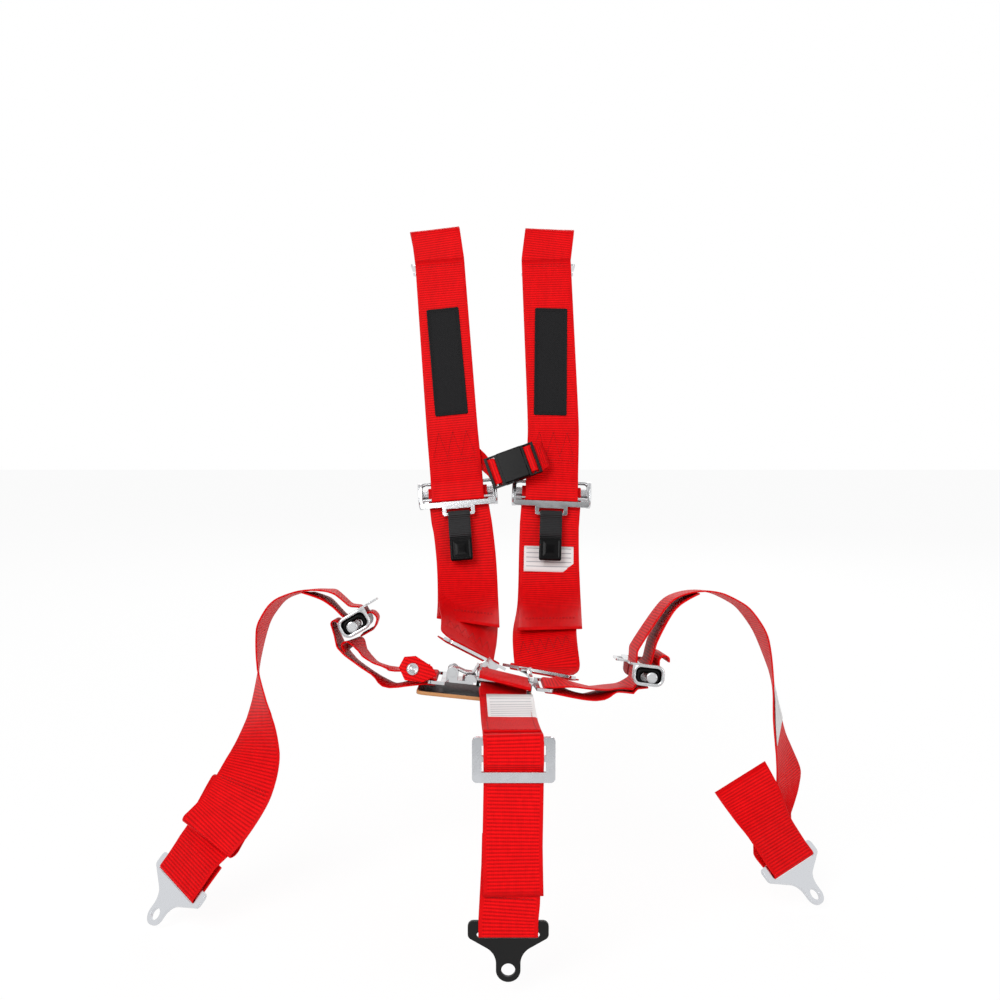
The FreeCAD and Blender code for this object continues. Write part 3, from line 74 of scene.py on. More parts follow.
class HarnessSizes(bpy.types.PropertyGroup):
    """Widths of the belts, and the scale of their weave and sewing"""
    wide_web: FloatProperty(
        name="Wide webbing", description="Width of the lap and lower shoulder webbing",
        default=70 * MM, unit="LENGTH")
    upper_web: FloatProperty(
        name="Upper webbing", description="Width of the upper shoulder webbing",
        default=62 * MM, unit="LENGTH")
    crotch_web: FloatProperty(
        name="Crotch webbing", description="Width of the crotch webbing",
        default=51 * MM, unit="LENGTH")
    sternum_web: FloatProperty(
        name="Sternum webbing", description="Width of the sternum webbing",
        default=32 * MM, unit="LENGTH")
    web_thick: FloatProperty(
        name="Webbing thickness", description="Thickness of all belt webbing",
        default=1.6 * MM, unit="LENGTH")
    rib_pitch: FloatProperty(
        name="Rib pitch", description="Distance from one crosswise rib to the next",
        default=3.1 * MM, unit="LENGTH")
    cord_pitch: FloatProperty(
        name="Warp pitch", description="Distance between the warp cords that cross the ribs",
        default=1.5 * MM, unit="LENGTH")
    stitch_length: FloatProperty(
        name="Stitch length", description="Length of one lockstitch",
        default=3.0 * MM, unit="LENGTH")
    stitch_gap: FloatProperty(
        name="Stitch gap", description="Webbing that shows between two stitches",
        default=0.8 * MM, unit="LENGTH")
    thread: FloatProperty(
        name="Thread", description="Thickness of the sewing thread",
        default=0.8 * MM, unit="LENGTH")
    run_step: FloatProperty(
        name="Section spacing", description="Longest distance between two sections of a strap",
        default=8 * MM, unit="LENGTH")
    columns: IntProperty(
        name="Columns", description="Columns of faces across a strap", default=12, min=4)


class HarnessColours(bpy.types.PropertyGroup):
    """Dyes, finishes and painted shade, as sRGB hex"""
    # Webbing: the lit colour of the rib crowns, then the painted shade in the grooves between the
    # ribs
    webbing: StringProperty(
        name="Webbing", description="Dyed polyester, on the ribs", default="#F00A10")
    webbing_groove_shade: StringProperty(
        name="Webbing shade", description="Dyed polyester, between the ribs", default="#B80408")
    thread: StringProperty(
        name="Thread", description="Sewing thread on the webbing", default="#AC060A")
    chrome: StringProperty(name="Chrome", description="Bright plated steel", default="#C9CACC")
    satin: StringProperty(name="Satin steel", description="Dull plated steel", default="#D2D4D8")
    black_paint: StringProperty(
        name="Black paint", description="Crotch anchor plate", default="#141414")
    black_tape: StringProperty(
        name="Black tape", description="Pull straps and patches", default="#0B0B0C")
    black_thread: StringProperty(
        name="Black thread", description="Edge of the patches", default="#161618")
    acetal: StringProperty(name="Acetal", description="Moulded black plastic", default="#0A0A0B")
    label: StringProperty(name="Label", description="Woven satin label", default="#E9E7E6")
    print_ink: StringProperty(name="Ink", description="Rules on a label", default="#9A98A0")
    leather: StringProperty(name="Leather", description="Face of the latch pad", default="#161412")
    tan_edge: StringProperty(
        name="Cut edge", description="Undyed edge of the latch pad", default="#C08A5A")
    floor: StringProperty(name="Floor", description="Studio floor", default="#F2F2F2")


def sizes():
    """The sizes that the panel shows."""
    return bpy.context.scene.harness_sizes


def colours():
    """The dyes, finishes and painted shade that the panel shows."""
    return bpy.context.scene.harness_colours


# ---------------------------------------------------------------- nodes and materials


def linear(text):
    """An sRGB hex colour as the linear RGBA that a shader socket takes."""
    parts = [int(text[start:start + 2], 16) / 255 for start in (1, 3, 5)]
    return tuple(part / 12.92 if part <= 0.04045 else ((part + 0.055) / 1.055) ** 2.4
                 for part in parts) + (1.0,)


def add(tree, kind, inputs=None, **settings):
    """Add a node, set its properties, and give each input a value or another node's output."""
    node = tree.nodes.new(kind)
    for name, value in settings.items():
        setattr(node, name, value)
    for name, value in (inputs or {}).items():
        if isinstance(value, bpy.types.NodeSocket):
            tree.links.new(value, node.inputs[name])
        else:
            node.inputs[name].default_value = value
    return node


def start_material(name):
    """A cleared material, its node tree and its output node.

    Noise scales below are cells per metre: 0.7 / MM puts 0.7 of a cell in a millimetre.
    """
    material = bpy.data.materials.new(name)
    material.use_nodes = True
    tree = material.node_tree
    tree.nodes.clear()
    return material, tree, tree.nodes.new("ShaderNodeOutputMaterial")


def wave_scale(pitch):
    """The Wave Texture scale that puts one band in each pitch (metres) of its coordinate."""
    return math.pi / (10 * pitch)


def polyester_webbing(name, high, low, rib, cord):
    """Woven polyester: crosswise weft ribs under fine warp cords, with painted light on the
    crowns, painted shade between them and a dull sheen.

    The ribs carry the look from a distance; a real rib is half as wide, and is drawn this coarse
    so that it still shows. The pressed selvedge is smooth, painted halfway between the lit crowns
    and the painted shade of the grooves.
    Handling leaves soft creases, sixteen of them to the length of each piece. The same noise
    scales the colour between 0.93 and 1.04: partly uneven fading, partly painted shade in the
    hollows of the creases.
    """
    material, tree, output = start_material(name)
    place = add(tree, "ShaderNodeUVMap", uv_map="weave")
    ribs = add(tree, "ShaderNodeTexWave", {"Vector": place.outputs["UV"], "Scale": wave_scale(rib),
               "Distortion": 0.12, "Detail": 1.0, "Detail Scale": 2.0}, bands_direction="Y")
    cords = add(tree, "ShaderNodeTexWave", {"Vector": place.outputs["UV"],
                "Scale": wave_scale(cord), "Distortion": 0.2, "Detail": 0.0},
                bands_direction="X")
    edge = add(tree, "ShaderNodeAttribute", attribute_name="selvedge")
    plain = add(tree, "ShaderNodeMath", {0: 1.0, 1: edge.outputs["Fac"]}, operation="SUBTRACT")
    relief = add(tree, "ShaderNodeMath", {0: cords.outputs["Fac"], 1: 0.35,
                 2: ribs.outputs["Fac"]}, operation="MULTIPLY_ADD")
    woven = add(tree, "ShaderNodeMath", {0: relief.outputs[0], 1: plain.outputs[0]},
                operation="MULTIPLY")
    # Painted light and shade: the rib crowns take the lit colour, the grooves the painted shade,
    # the selvedge and cut ends halfway
    shade = add(tree, "ShaderNodeMapRange", {"Value": relief.outputs[0], "From Min": 0.15})
    pressed = add(tree, "ShaderNodeMath", {0: edge.outputs["Fac"], 1: 0.55},
                  operation="MULTIPLY")
    lifted = add(tree, "ShaderNodeMath", {0: shade.outputs[0], 1: plain.outputs[0],
                 2: pressed.outputs[0]}, operation="MULTIPLY_ADD")
    mix = add(tree, "ShaderNodeMix", {"Factor": lifted.outputs[0], "A": linear(low),
              "B": linear(high)}, data_type="RGBA")
    creases = add(tree, "ShaderNodeTexNoise", {"Scale": 16.0, "Detail": 1.0, "Roughness": 0.4})
    # Partly uneven fading, partly painted shade: darker where the crease bump is low
    fade_and_crease_shade = add(tree, "ShaderNodeMapRange", {"Value": creases.outputs["Fac"], "From Min": 0.3,
               "From Max": 0.7, "To Min": 0.93, "To Max": 1.04})
    tinted = add(tree, "ShaderNodeMix", {"Factor": 1.0, "A": mix.outputs["Result"],
                 "B": fade_and_crease_shade.outputs[0]}, data_type="RGBA", blend_type="MULTIPLY")
    soft = add(tree, "ShaderNodeBump", {"Strength": 0.15, "Distance": 2.0 * MM,
               "Height": creases.outputs["Fac"]})
    weave = add(tree, "ShaderNodeBump", {"Strength": 0.4, "Distance": 0.25 * MM,
                "Height": woven.outputs[0], "Normal": soft.outputs["Normal"]})
    shader = add(tree, "ShaderNodeBsdfPrincipled", {"Base Color": tinted.outputs["Result"],
                 "Roughness": 0.5, "IOR": 1.5, "Specular IOR Level": 0.07, "Sheen Weight": 0.02,
                 "Sheen Roughness": 0.4, "Sheen Tint": linear(FIBRE_SHEEN),
                 "Normal": weave.outputs["Normal"]})
    tree.links.new(shader.outputs[0], output.inputs[0])
    return material


def bonded_thread(name, colour):
    """Bonded polyester thread: 1.1 mm twists that catch a small highlight on each stitch."""
    material, tree, output = start_material(name)
    place = add(tree, "ShaderNodeTexCoord")
    twist = add(tree, "ShaderNodeTexWave", {"Vector": place.outputs["Object"],
                "Scale": wave_scale(1.1 * MM), "Distortion": 0.6, "Detail": 0.0},
                bands_direction="DIAGONAL")
    relief = add(tree, "ShaderNodeBump", {"Strength": 0.4, "Distance": 0.2 * MM,
                 "Height": twist.outputs["Fac"]})
    shader = add(tree, "ShaderNodeBsdfPrincipled", {"Base Color": linear(colour),
                 "Roughness": 0.45, "IOR": 1.5, "Specular IOR Level": 0.2,
                 "Normal": relief.outputs["Normal"]})
    tree.links.new(shader.outputs[0], output.inputs[0])
    return material


def plated_steel(name, colour, smooth, dull, grain):
    """Plated pressed steel: rounded edges and a faint drawn grain under the plating.

    Roughness runs between the two values in smears about 17 mm wide, where handling has
    dulled the plate. The grain's width is in metres, coarser than real so that it shows.
    """
    material, tree, output = start_material(name)
    place = add(tree, "ShaderNodeTexCoord")
    stretched = add(tree, "ShaderNodeMapping", {"Vector": place.outputs["Object"],
                    "Scale": (0.08, 1.0, 1.0)})
    lines = add(tree, "ShaderNodeTexNoise", {"Vector": stretched.outputs[0],
                "Scale": 1.0 / grain, "Detail": 3.0})
    smears = add(tree, "ShaderNodeTexNoise", {"Vector": place.outputs["Object"],
                 "Scale": 0.06 / MM, "Detail": 2.0})
    rough = add(tree, "ShaderNodeMapRange", {"Value": smears.outputs["Fac"], "From Min": 0.35,
                "From Max": 0.65, "To Min": smooth, "To Max": dull})
    rounded = add(tree, "ShaderNodeBevel", {"Radius": 0.45 * MM}, samples=4)
    relief = add(tree, "ShaderNodeBump", {"Strength": 0.012, "Distance": 0.1 * MM,
                 "Height": lines.outputs["Fac"], "Normal": rounded.outputs["Normal"]})
    shader = add(tree, "ShaderNodeBsdfPrincipled", {"Base Color": linear(colour),
                 "Metallic": 1.0, "Roughness": rough.outputs[0],
                 "Normal": relief.outputs["Normal"]})
    tree.links.new(shader.outputs[0], output.inputs[0])
    return material


def painted_steel(name, colour):
    """Black baked enamel on steel: even gloss, a 1.4 mm orange peel and soft edges."""
    material, tree, output = start_material(name)
    place = add(tree, "ShaderNodeTexCoord")
    peel = add(tree, "ShaderNodeTexNoise", {"Vector": place.outputs["Object"], "Scale": 0.7 / MM,
               "Detail": 2.0})
    rounded = add(tree, "ShaderNodeBevel", {"Radius": 0.5 * MM}, samples=4)
    relief = add(tree, "ShaderNodeBump", {"Strength": 0.12, "Distance": 0.2 * MM,
                 "Height": peel.outputs["Fac"], "Normal": rounded.outputs["Normal"]})
    rough = add(tree, "ShaderNodeMapRange", {"Value": peel.outputs["Fac"], "To Min": 0.36,
                "To Max": 0.5})
    shader = add(tree, "ShaderNodeBsdfPrincipled", {"Base Color": linear(colour),
                 "Roughness": rough.outputs[0], "IOR": 1.5, "Specular IOR Level": 0.2,
                 "Normal": relief.outputs["Normal"]})
    tree.links.new(shader.outputs[0], output.inputs[0])
    return material


def moulded_acetal(name, colour):
    """Injection moulded acetal: 0.7 mm spark-eroded texture, waxy shine, soft mould edges."""
    material, tree, output = start_material(name)
    place = add(tree, "ShaderNodeTexCoord")
    spark = add(tree, "ShaderNodeTexNoise", {"Vector": place.outputs["Object"],
                "Scale": 1.4 / MM, "Detail": 1.0})
    rounded = add(tree, "ShaderNodeBevel", {"Radius": 0.7 * MM}, samples=4)
    relief = add(tree, "ShaderNodeBump", {"Strength": 0.1, "Distance": 0.15 * MM,
                 "Height": spark.outputs["Fac"], "Normal": rounded.outputs["Normal"]})
    rough = add(tree, "ShaderNodeMapRange", {"Value": spark.outputs["Fac"], "To Min": 0.16,
                "To Max": 0.26})
    shader = add(tree, "ShaderNodeBsdfPrincipled", {"Base Color": linear(colour),
                 "Roughness": rough.outputs[0], "IOR": 1.48, "Specular IOR Level": 0.1,
                 "Normal": relief.outputs["Normal"]})
    tree.links.new(shader.outputs[0], output.inputs[0])
    return material


def nylon_tape(name, colour, rib):
    """Narrow woven nylon tape: tight ribs, drawn coarse, with a painted highlight, a lighter
    black, on their crowns.
    """
    material, tree, output = start_material(name)
    place = add(tree, "ShaderNodeUVMap", uv_map="weave")
    ribs = add(tree, "ShaderNodeTexWave", {"Vector": place.outputs["UV"],
               "Scale": wave_scale(rib), "Distortion": 0.3, "Detail": 1.0},
               bands_direction="Y")
    relief = add(tree, "ShaderNodeBump", {"Strength": 0.7, "Distance": 0.4 * MM,
                 "Height": ribs.outputs["Fac"]})
    # Painted highlight: the rib crowns take the lighter black
    lift = add(tree, "ShaderNodeMix", {"Factor": ribs.outputs["Fac"], "A": linear(colour),
               "B": linear(TAPE_CROWN_HIGHLIGHT)}, data_type="RGBA")
    shader = add(tree, "ShaderNodeBsdfPrincipled", {"Base Color": lift.outputs["Result"],
                 "Roughness": 0.42, "IOR": 1.5, "Specular IOR Level": 0.25,
                 "Normal": relief.outputs["Normal"]})
    tree.links.new(shader.outputs[0], output.inputs[0])
    return material


def embroidered_twill(name, colour, row_crest_highlight):
    """Embroidered polyester: slanted rows of satin stitch with a dull thread shine, and a painted
    highlight in the lighter edge-thread black on each row's crest.

    A real row is half as wide, and is drawn at 1.4 mm so that it shows.
    """
    material, tree, output = start_material(name)
    place = add(tree, "ShaderNodeUVMap", uv_map="weave")
    rows = add(tree, "ShaderNodeTexWave", {"Vector": place.outputs["UV"],
               "Scale": wave_scale(1.4 * MM), "Distortion": 0.8, "Detail": 2.0,
               "Detail Scale": 3.0}, bands_direction="DIAGONAL")
    relief = add(tree, "ShaderNodeBump", {"Strength": 0.55, "Distance": 0.3 * MM,
                 "Height": rows.outputs["Fac"]})
    # Painted highlight: each row's crest takes the lighter black, its hollow the tape's black
    mix = add(tree, "ShaderNodeMix", {"Factor": rows.outputs["Fac"], "A": linear(colour),
              "B": linear(row_crest_highlight)}, data_type="RGBA")
    shader = add(tree, "ShaderNodeBsdfPrincipled", {"Base Color": mix.outputs["Result"],
                 "Roughness": 0.6, "IOR": 1.5, "Specular IOR Level": 0.15,
                 "Normal": relief.outputs["Normal"]})
    tree.links.new(shader.outputs[0], output.inputs[0])
    return material


def satin_label(name, colour, ink, rule):
    """Woven satin label: smooth white face with a few plain printed rules across it."""
    material, tree, output = start_material(name)
    place = add(tree, "ShaderNodeUVMap", uv_map="weave")
    bands = add(tree, "ShaderNodeTexWave", {"Vector": place.outputs["UV"],
                "Scale": wave_scale(rule), "Detail": 0.0},
                bands_direction="Y")
    line = add(tree, "ShaderNodeMath", {0: bands.outputs["Fac"], 1: 0.93},
               operation="GREATER_THAN")
    margin = add(tree, "ShaderNodeAttribute", attribute_name="selvedge")
    inside = add(tree, "ShaderNodeMath", {0: margin.outputs["Fac"], 1: 0.5},
                 operation="LESS_THAN")
    printed = add(tree, "ShaderNodeMath", {0: line.outputs[0], 1: inside.outputs[0]},
                  operation="MULTIPLY")
    mix = add(tree, "ShaderNodeMix", {"Factor": printed.outputs[0], "A": linear(colour),
              "B": linear(ink)}, data_type="RGBA")
    satin = add(tree, "ShaderNodeTexNoise", {"Vector": place.outputs["UV"], "Scale": 0.9 / MM,
                "Detail": 2.0})
    relief = add(tree, "ShaderNodeBump", {"Strength": 0.15, "Distance": 0.2 * MM,
                 "Height": satin.outputs["Fac"]})
    shader = add(tree, "ShaderNodeBsdfPrincipled", {"Base Color": mix.outputs["Result"],
                 "Roughness": 0.45, "IOR": 1.5, "Normal": relief.outputs["Normal"]})
    tree.links.new(shader.outputs[0], output.inputs[0])
    return material


def grained_leather(name, face, edge):
    """Chrome-tanned leather: 2 mm pebbles on a black face over an undyed tan cut edge."""
    material, tree, output = start_material(name)
    place = add(tree, "ShaderNodeTexCoord")
    pebbles = add(tree, "ShaderNodeTexVoronoi", {"Vector": place.outputs["Object"],
                  "Scale": 0.45 / MM}, feature="SMOOTH_F1")
    rim = add(tree, "ShaderNodeAttribute", attribute_name="selvedge")
    mix = add(tree, "ShaderNodeMix", {"Factor": rim.outputs["Fac"], "A": linear(face),
              "B": linear(edge)}, data_type="RGBA")
    relief = add(tree, "ShaderNodeBump", {"Strength": 0.5, "Distance": 0.4 * MM,
                 "Height": pebbles.outputs["Distance"]})
    rough = add(tree, "ShaderNodeMapRange", {"Value": pebbles.outputs["Distance"],
                "To Min": 0.42, "To Max": 0.62})
    shader = add(tree, "ShaderNodeBsdfPrincipled", {"Base Color": mix.outputs["Result"],
                 "Roughness": rough.outputs[0], "IOR": 1.5, "Specular IOR Level": 0.25,
                 "Normal": relief.outputs["Normal"]})
    tree.links.new(shader.outputs[0], output.inputs[0])
    return material


FINISHES = {}


def make_finishes():
    """Make every material once and keep it under the name of the record's slot."""
    dye, mm = colours(), sizes()
    FINISHES.update({
        "red_webbing": polyester_webbing("Red polyester webbing, woven", dye.webbing,
                                         dye.webbing_groove_shade, mm.rib_pitch, mm.cord_pitch),
        "red_thread": bonded_thread("Red polyester thread, bonded", dye.thread),
        "hardware_chrome": plated_steel("Steel, pressed and chrome plated", dye.chrome,
                                        smooth=0.12, dull=0.2, grain=1.2 * MM),
        "knurled_steel": plated_steel("Steel bar, knurled and plated", dye.chrome,
                                      smooth=0.2, dull=0.3, grain=1.0 * MM),
        "satin_steel": plated_steel("Steel, stamped and zinc plated", dye.satin,
                                    smooth=0.2, dull=0.32, grain=0.9 * MM),
        "black_steel": painted_steel("Steel, stamped and enamelled", dye.black_paint),
        "black_plastic": moulded_acetal("Acetal, injection moulded", dye.acetal),
        "black_webbing": nylon_tape("Nylon tape, woven", dye.black_tape, rib=2.2 * MM),
        "black_patch": embroidered_twill("Polyester patch, embroidered", dye.black_tape,
                                         dye.black_thread),
        "black_thread": bonded_thread("Black polyester thread, overlocked", dye.black_thread),
        "white_label": satin_label("Polyester satin label, printed", dye.label,
                                   dye.print_ink, rule=5.5 * MM),
        "black_leather": grained_leather("Cowhide, grained", dye.leather, dye.tan_edge),
    })


# ---------------------------------------------------------------- frames and routes (mm)

# Webbing, the pitch of two plies, and its middle from a bar's face and a plate's middle
WEB_THICK, PLY, WRAP, FACE = 1.6, 1.8, 1.2, 2.7
# Selvedge: the smooth hem's width, its step to the weave, and the length of a sealed cut end
HEM, HEM_STEP, CUT_END = 2.6, 0.3, 1.5
# Adjuster: its fixed bar and its sliding bar, each by radius and place, and the bar's heads
FIXED_RADIUS, FIXED_BELOW, FIXED_FRONT = 1.8, 8.0, 7.3
SLIDE_RADIUS, SLIDE_REST, SLIDE_BEHIND = 4.0, 4.0, 3.0
HEAD_RADIUS, HEAD_THICK = 5.4, 1.5
# Half the adjuster's opening, its cheek and the heads' running gap
ADJUSTER_REACH = 42.0 + 2.5 + 0.3
# Cheek rim and slot window: half length, half height, corner and middle in the cheek's plane
CHEEK = (15.5, 10.4, 8.0, 0.5, -0.9)
SLOT_WINDOW = (7.6, 4.1, 4.0, 0.5, -3.0)
# Anchor plates: bolt to slot, slot, the bar over it, and the slumped loop's height and bend
BOLT_TO_SLOT, CROTCH_BOLT_TO_SLOT = 31.0, 28.0
SLOT_HEIGHT, LOOP_BAR, LOOP_HANG, LOOP_RADIUS = 6.0, 9.5, 1.4, 2.6
# Latch and link plate: slots, bar, the link plate's lift, the link tips' eyes, the lever's pin
LATCH_SLOT_AT, LATCH_BAR, LINK_SLOT_AT, LINK_LIFT = -40.0, 7.0, 54.5, 3.4
LEFT_EYE_AT, RIGHT_EYE_AT = -4.5, 46.5
LEVER_PIN = (-30, 0, 8)
# Crotch slide's middle bar and window; rear slide's bar, window and way to its plate
SLIDE_MID, SLIDE_WINDOW = 5.0, 9.0
REAR_BAR, REAR_WINDOW, REAR_REACH = 6.0, 14.0, 92.0
# Chest buckle: half its body, then a ladder's length and bar
BUCKLE_REACH, LADDER_LENGTH, LADDER_BAR = 14.5, 16.0, 3.5
# Pull tab: the adjuster's centre bar, the sheet it is cut from, and the tape
TAB_BAR_Y, TAB_BAR_Z, TAB_BAR, SHEET_THICK = -27.85, 8.5, 3.5, 2.0
PULL_WEB, PULL_THICK, PULL_LENGTH = 26.0, 1.2, 30.0
LABEL_THICK = 0.5
# A stitch: (place, swell) of its rings, its sides, and its height off the cloth in radii
SPINDLE = ((-0.5, 0.35), (-0.32, 0.9), (0.32, 0.9), (0.5, 0.35))
SPINDLE_SIDES, THREAD_LIFT = 6, 0.25
# Where a stitch comes up and goes down, as shares of its pitch
STITCH_ENDS = (0.12, 0.88)
# Bends of at least this radius are loose and get eased, over this many passes
LOOSE_BEND, EASE_PASSES = 14, 14
# Reach of the levelling, degrees in one step of an arc, and the least gap of two sections
LEVEL_REACH, ARC_STEP, LEAST_GAP = 12.0, 11, 0.02
# Faces round a turned piece, and from end to end of a rounded corner
TURN_SEGMENTS, CORNER_STEPS = 40, 6
# Directions across a strap: in a fitting's own frame, then those of the lap belts
ACROSS, NEAR, DOWN = (1, 0, 0), (-1, 0, 0), (0, -1, 0)
FLAT, LEVEL = (0.0, -0.985, 0.16), (0.03, -0.97, 0.235)


def frame_from(origin, across, up):
    """A matrix whose X runs across, whose Y runs up and whose Z is their normal."""
    x = Vector(across).normalized()
    z = x.cross(Vector(up)).normalized()
    y = z.cross(x)
    turn = Matrix((x, y, z)).transposed().to_4x4()
    return Matrix.Translation(Vector(origin)) @ turn


def in_frame(place, points):
    """Carry (x, y, z, radius, across) points from a local frame into the harness's."""
    turn = place.to_3x3()
    return [(*(place @ Vector((x, y, z))), radius, tuple(turn @ Vector(across)))
            for x, y, z, radius, across in points]


LATCH = frame_from((-24, 170, 207), (0.9945, 0, -0.1045), (0, 0.9925, -0.122))
ADJUSTERS = {
    "left": frame_from((-57, 440, 366), (0.9966, 0, 0.082), (-0.08, 0.42, 0.90)),
    "right": frame_from((54, 440, 366), (0.9991, 0, -0.042), (0.04, 0.42, 0.90)),
}
LAP_ADJUSTERS = {
    "left": frame_from((-151, 205, 261), (-0.07, 0.985, -0.16), (-0.86, 0, -0.51)),
    "right": frame_from((136, 200, 212), (0, -0.988, 0.14), (0.99, 0, -0.12)),
}
TIPS = {
    "left": frame_from((-33, 252, 216), (0.716, 0.486, -0.493), (-0.525, 0.843, 0.069)),
    "right": frame_from((33.2, 240, 200.5), (0.872, -0.485, -0.048), (0.449, 0.847, -0.287)),
}
LAP_PLATES = {
    "left": frame_from((-338, 130, -11), (0.64, -0.74, -0.19), (26.5, 13.5, 36.7)),
    "right": frame_from((306, 170, -9), (0.71, 0.69, 0.08), (-24.6, 21.6, 32)),
}
CROTCH_PLATE = frame_from((0, 0, 0), (1, 0, 0), (0, 0, 1))
CROTCH_SLIDE = frame_from((4.5, 0, 185), (1, 0, 0), (0, 0, 1))
BUCKLE = frame_from((8.4, 427, 400.7), (0.94, 0, 0.342), (-0.3, 0.38, 0.87))
REARS = {
    "left": frame_from((-101, 850, 668), (1, 0, 0), (-0.03, 1, -0.10)),
    "right": frame_from((66, 850, 668), (1, 0, 0), (0.03, 1, -0.10)),
}
SNAP = frame_from((-88, 135.5, 227.5), (0.95, 0, -0.3), (0.12, 0.35, 0.9))

WIDTHS = {"left": (1, 0, 0.1), "right": (1, 0, -0.02)}
FRONTS = {
    "left": [(-83, 553, 651, 0, WIDTHS["left"]), (-65, 476, 441, 40, WIDTHS["left"])],
    "right": [(51, 553, 651, 0, WIDTHS["right"]), (58, 476, 441, 40, WIDTHS["right"])],
}
OVERS = {
    "left": [(-89, 566, 690, 8, WIDTHS["left"]), (-92, 590, 692, 8, WIDTHS["left"]),
             (-96, 700, 684, 60, (1, 0, 0.05))],
    "right": [(56, 566, 690, 8, WIDTHS["right"]), (57, 590, 692, 8, WIDTHS["right"]),
              (61, 700, 684, 60, (1, 0, 0))],
}
LOWERS = {
    "left": [(-51, 428, 330, 30, (1, 0, 0.05)), (-46, 416, 291, 40, (1, 0.05, 0)),
             (-44, 394, 255, 40, (0.98, 0.15, -0.06)), (-43, 366, 240, 50, (0.94, 0.25, -0.2)),
             (-41, 310, 229, 40, (0.80, 0.42, -0.40))],
    "right": [(51, 428, 330, 30, WIDTHS["right"]), (50, 416, 291, 40, (1, -0.02, 0)),
              (49, 394, 255, 40, (0.99, -0.1, 0)), (47, 362, 239, 50, (0.97, -0.2, 0)),
              (40, 300, 229, 40, (0.92, -0.36, 0))],
}


TAILS = {
    "left": [(-51, 426, 330, 30, (1, 0, 0.05)), (-46, 414, 291, 40, (1, 0.05, 0)),
             (-44, 392, 256, 40, (0.99, 0.1, -0.04)), (-43, 364, 242.6, 30, (0.98, 0.14, -0.08)),
             (-42, 318, 235.8, 0, (0.97, 0.18, -0.14))],
    "right": [(51, 426, 330, 30, WIDTHS["right"]), (50.5, 414, 291, 40, (1, -0.02, 0)),
              (51, 392, 256, 40, (0.99, -0.1, 0)), (50, 360, 241.8, 30, (0.97, -0.17, 0)),
              (47, 298, 232.6, 0, (0.95, -0.28, 0))],
}


def front_lean(side):
    """The normal of a shoulder strap's straight front, away from the wearer."""
    top, foot = FRONTS[side][0], FRONTS[side][-1]
    run = Vector([top[axis] - foot[axis] for axis in range(3)])
    return Vector(top[4]).cross(run).normalized()


def upper_route(side):
    """Down the front, round the adjuster's fixed bar, up behind and over to the rear."""
    arc = FIXED_RADIUS + WRAP
    bar_wrap = in_frame(ADJUSTERS[side], [
        (0, 20, FIXED_FRONT + 0.6, 14, ACROSS), (0, 12, FIXED_FRONT + arc, 8, ACROSS),
        (0, -FIXED_BELOW - arc, FIXED_FRONT + arc, arc, ACROSS),
        (0, -FIXED_BELOW - arc, FIXED_FRONT - arc, arc, ACROSS),
        (0, 12, FIXED_FRONT - arc + 0.1, 10, ACROSS), (0, 20, FIXED_FRONT - 1.2, 14, ACROSS)])
    shift = front_lean(side) * (PLY / 2)
    front = [(x + shift.x, y + shift.y, z + shift.z, radius, across)
             for x, y, z, radius, across in FRONTS[side]]
    back = [(x - shift.x, y - shift.y, z - shift.z, radius, across)
            for x, y, z, radius, across in reversed(FRONTS[side])]
    return front + bar_wrap + back + OVERS[side] + rear_route(REARS[side])


def rear_route(rear):
    """Through the rear slide, round the anchor plate's bar and back through the slide."""
    hop, half = 4.2, PLY / 2
    near = REAR_BAR / 2 + REAR_WINDOW
    weave = [(-near - REAR_BAR - 4, -hop), (-near + 1, -hop), (-REAR_BAR / 2 - 1, hop),
             (REAR_BAR / 2 + 1, hop), (near - 1, -hop), (near + REAR_BAR + 4, -hop)]
    out = [(0, y, z - half, 5, ACROSS) for y, z in weave]
    back = [(0, y, z + half, 5, ACROSS) for y, z in reversed(weave)]
    low = REAR_REACH - (BOLT_TO_SLOT + SLOT_HEIGHT - WRAP)
    end = REAR_REACH - (BOLT_TO_SLOT + SLOT_HEIGHT + LOOP_BAR)
    loop = [(0, end, -FACE, 4, ACROSS), (0, low, -FACE, WRAP + 0.5, ACROSS),
            (0, low, FACE, WRAP + 0.5, ACROSS), (0, end, FACE, 4, ACROSS)]
    return in_frame(rear, out + loop + back)


def lower_route(side):
    """From inside the link tip, up to the slide bar, over it and down the front again."""
    bar = SLIDE_RADIUS + WRAP
    over_bar = in_frame(ADJUSTERS[side], [
        (0, -30, -SLIDE_BEHIND - bar, 20, ACROSS),
        (0, SLIDE_REST + bar, -SLIDE_BEHIND - bar, bar, ACROSS),
        (0, SLIDE_REST + bar, -SLIDE_BEHIND + bar, bar, ACROSS),
        (0, -12, -SLIDE_BEHIND + bar, 14, ACROSS)])
    bend = SLOT_HEIGHT / 2 - WRAP
    through_tip = in_frame(TIPS[side], [
        (0, 20, FACE + 1.0, 8, ACROSS), (0, 4, FACE, 4, ACROSS),
        (0, bend, FACE, WRAP + 0.5, ACROSS), (0, bend, -FACE, WRAP + 0.5, ACROSS),
        (0, 8, -FACE, 4, ACROSS), (0, 26, -FACE + 1.4, 0, ACROSS)])
    lower, tail = LOWERS[side], TAILS[side]
    return list(reversed(through_tip)) + list(reversed(lower)) + over_bar + tail


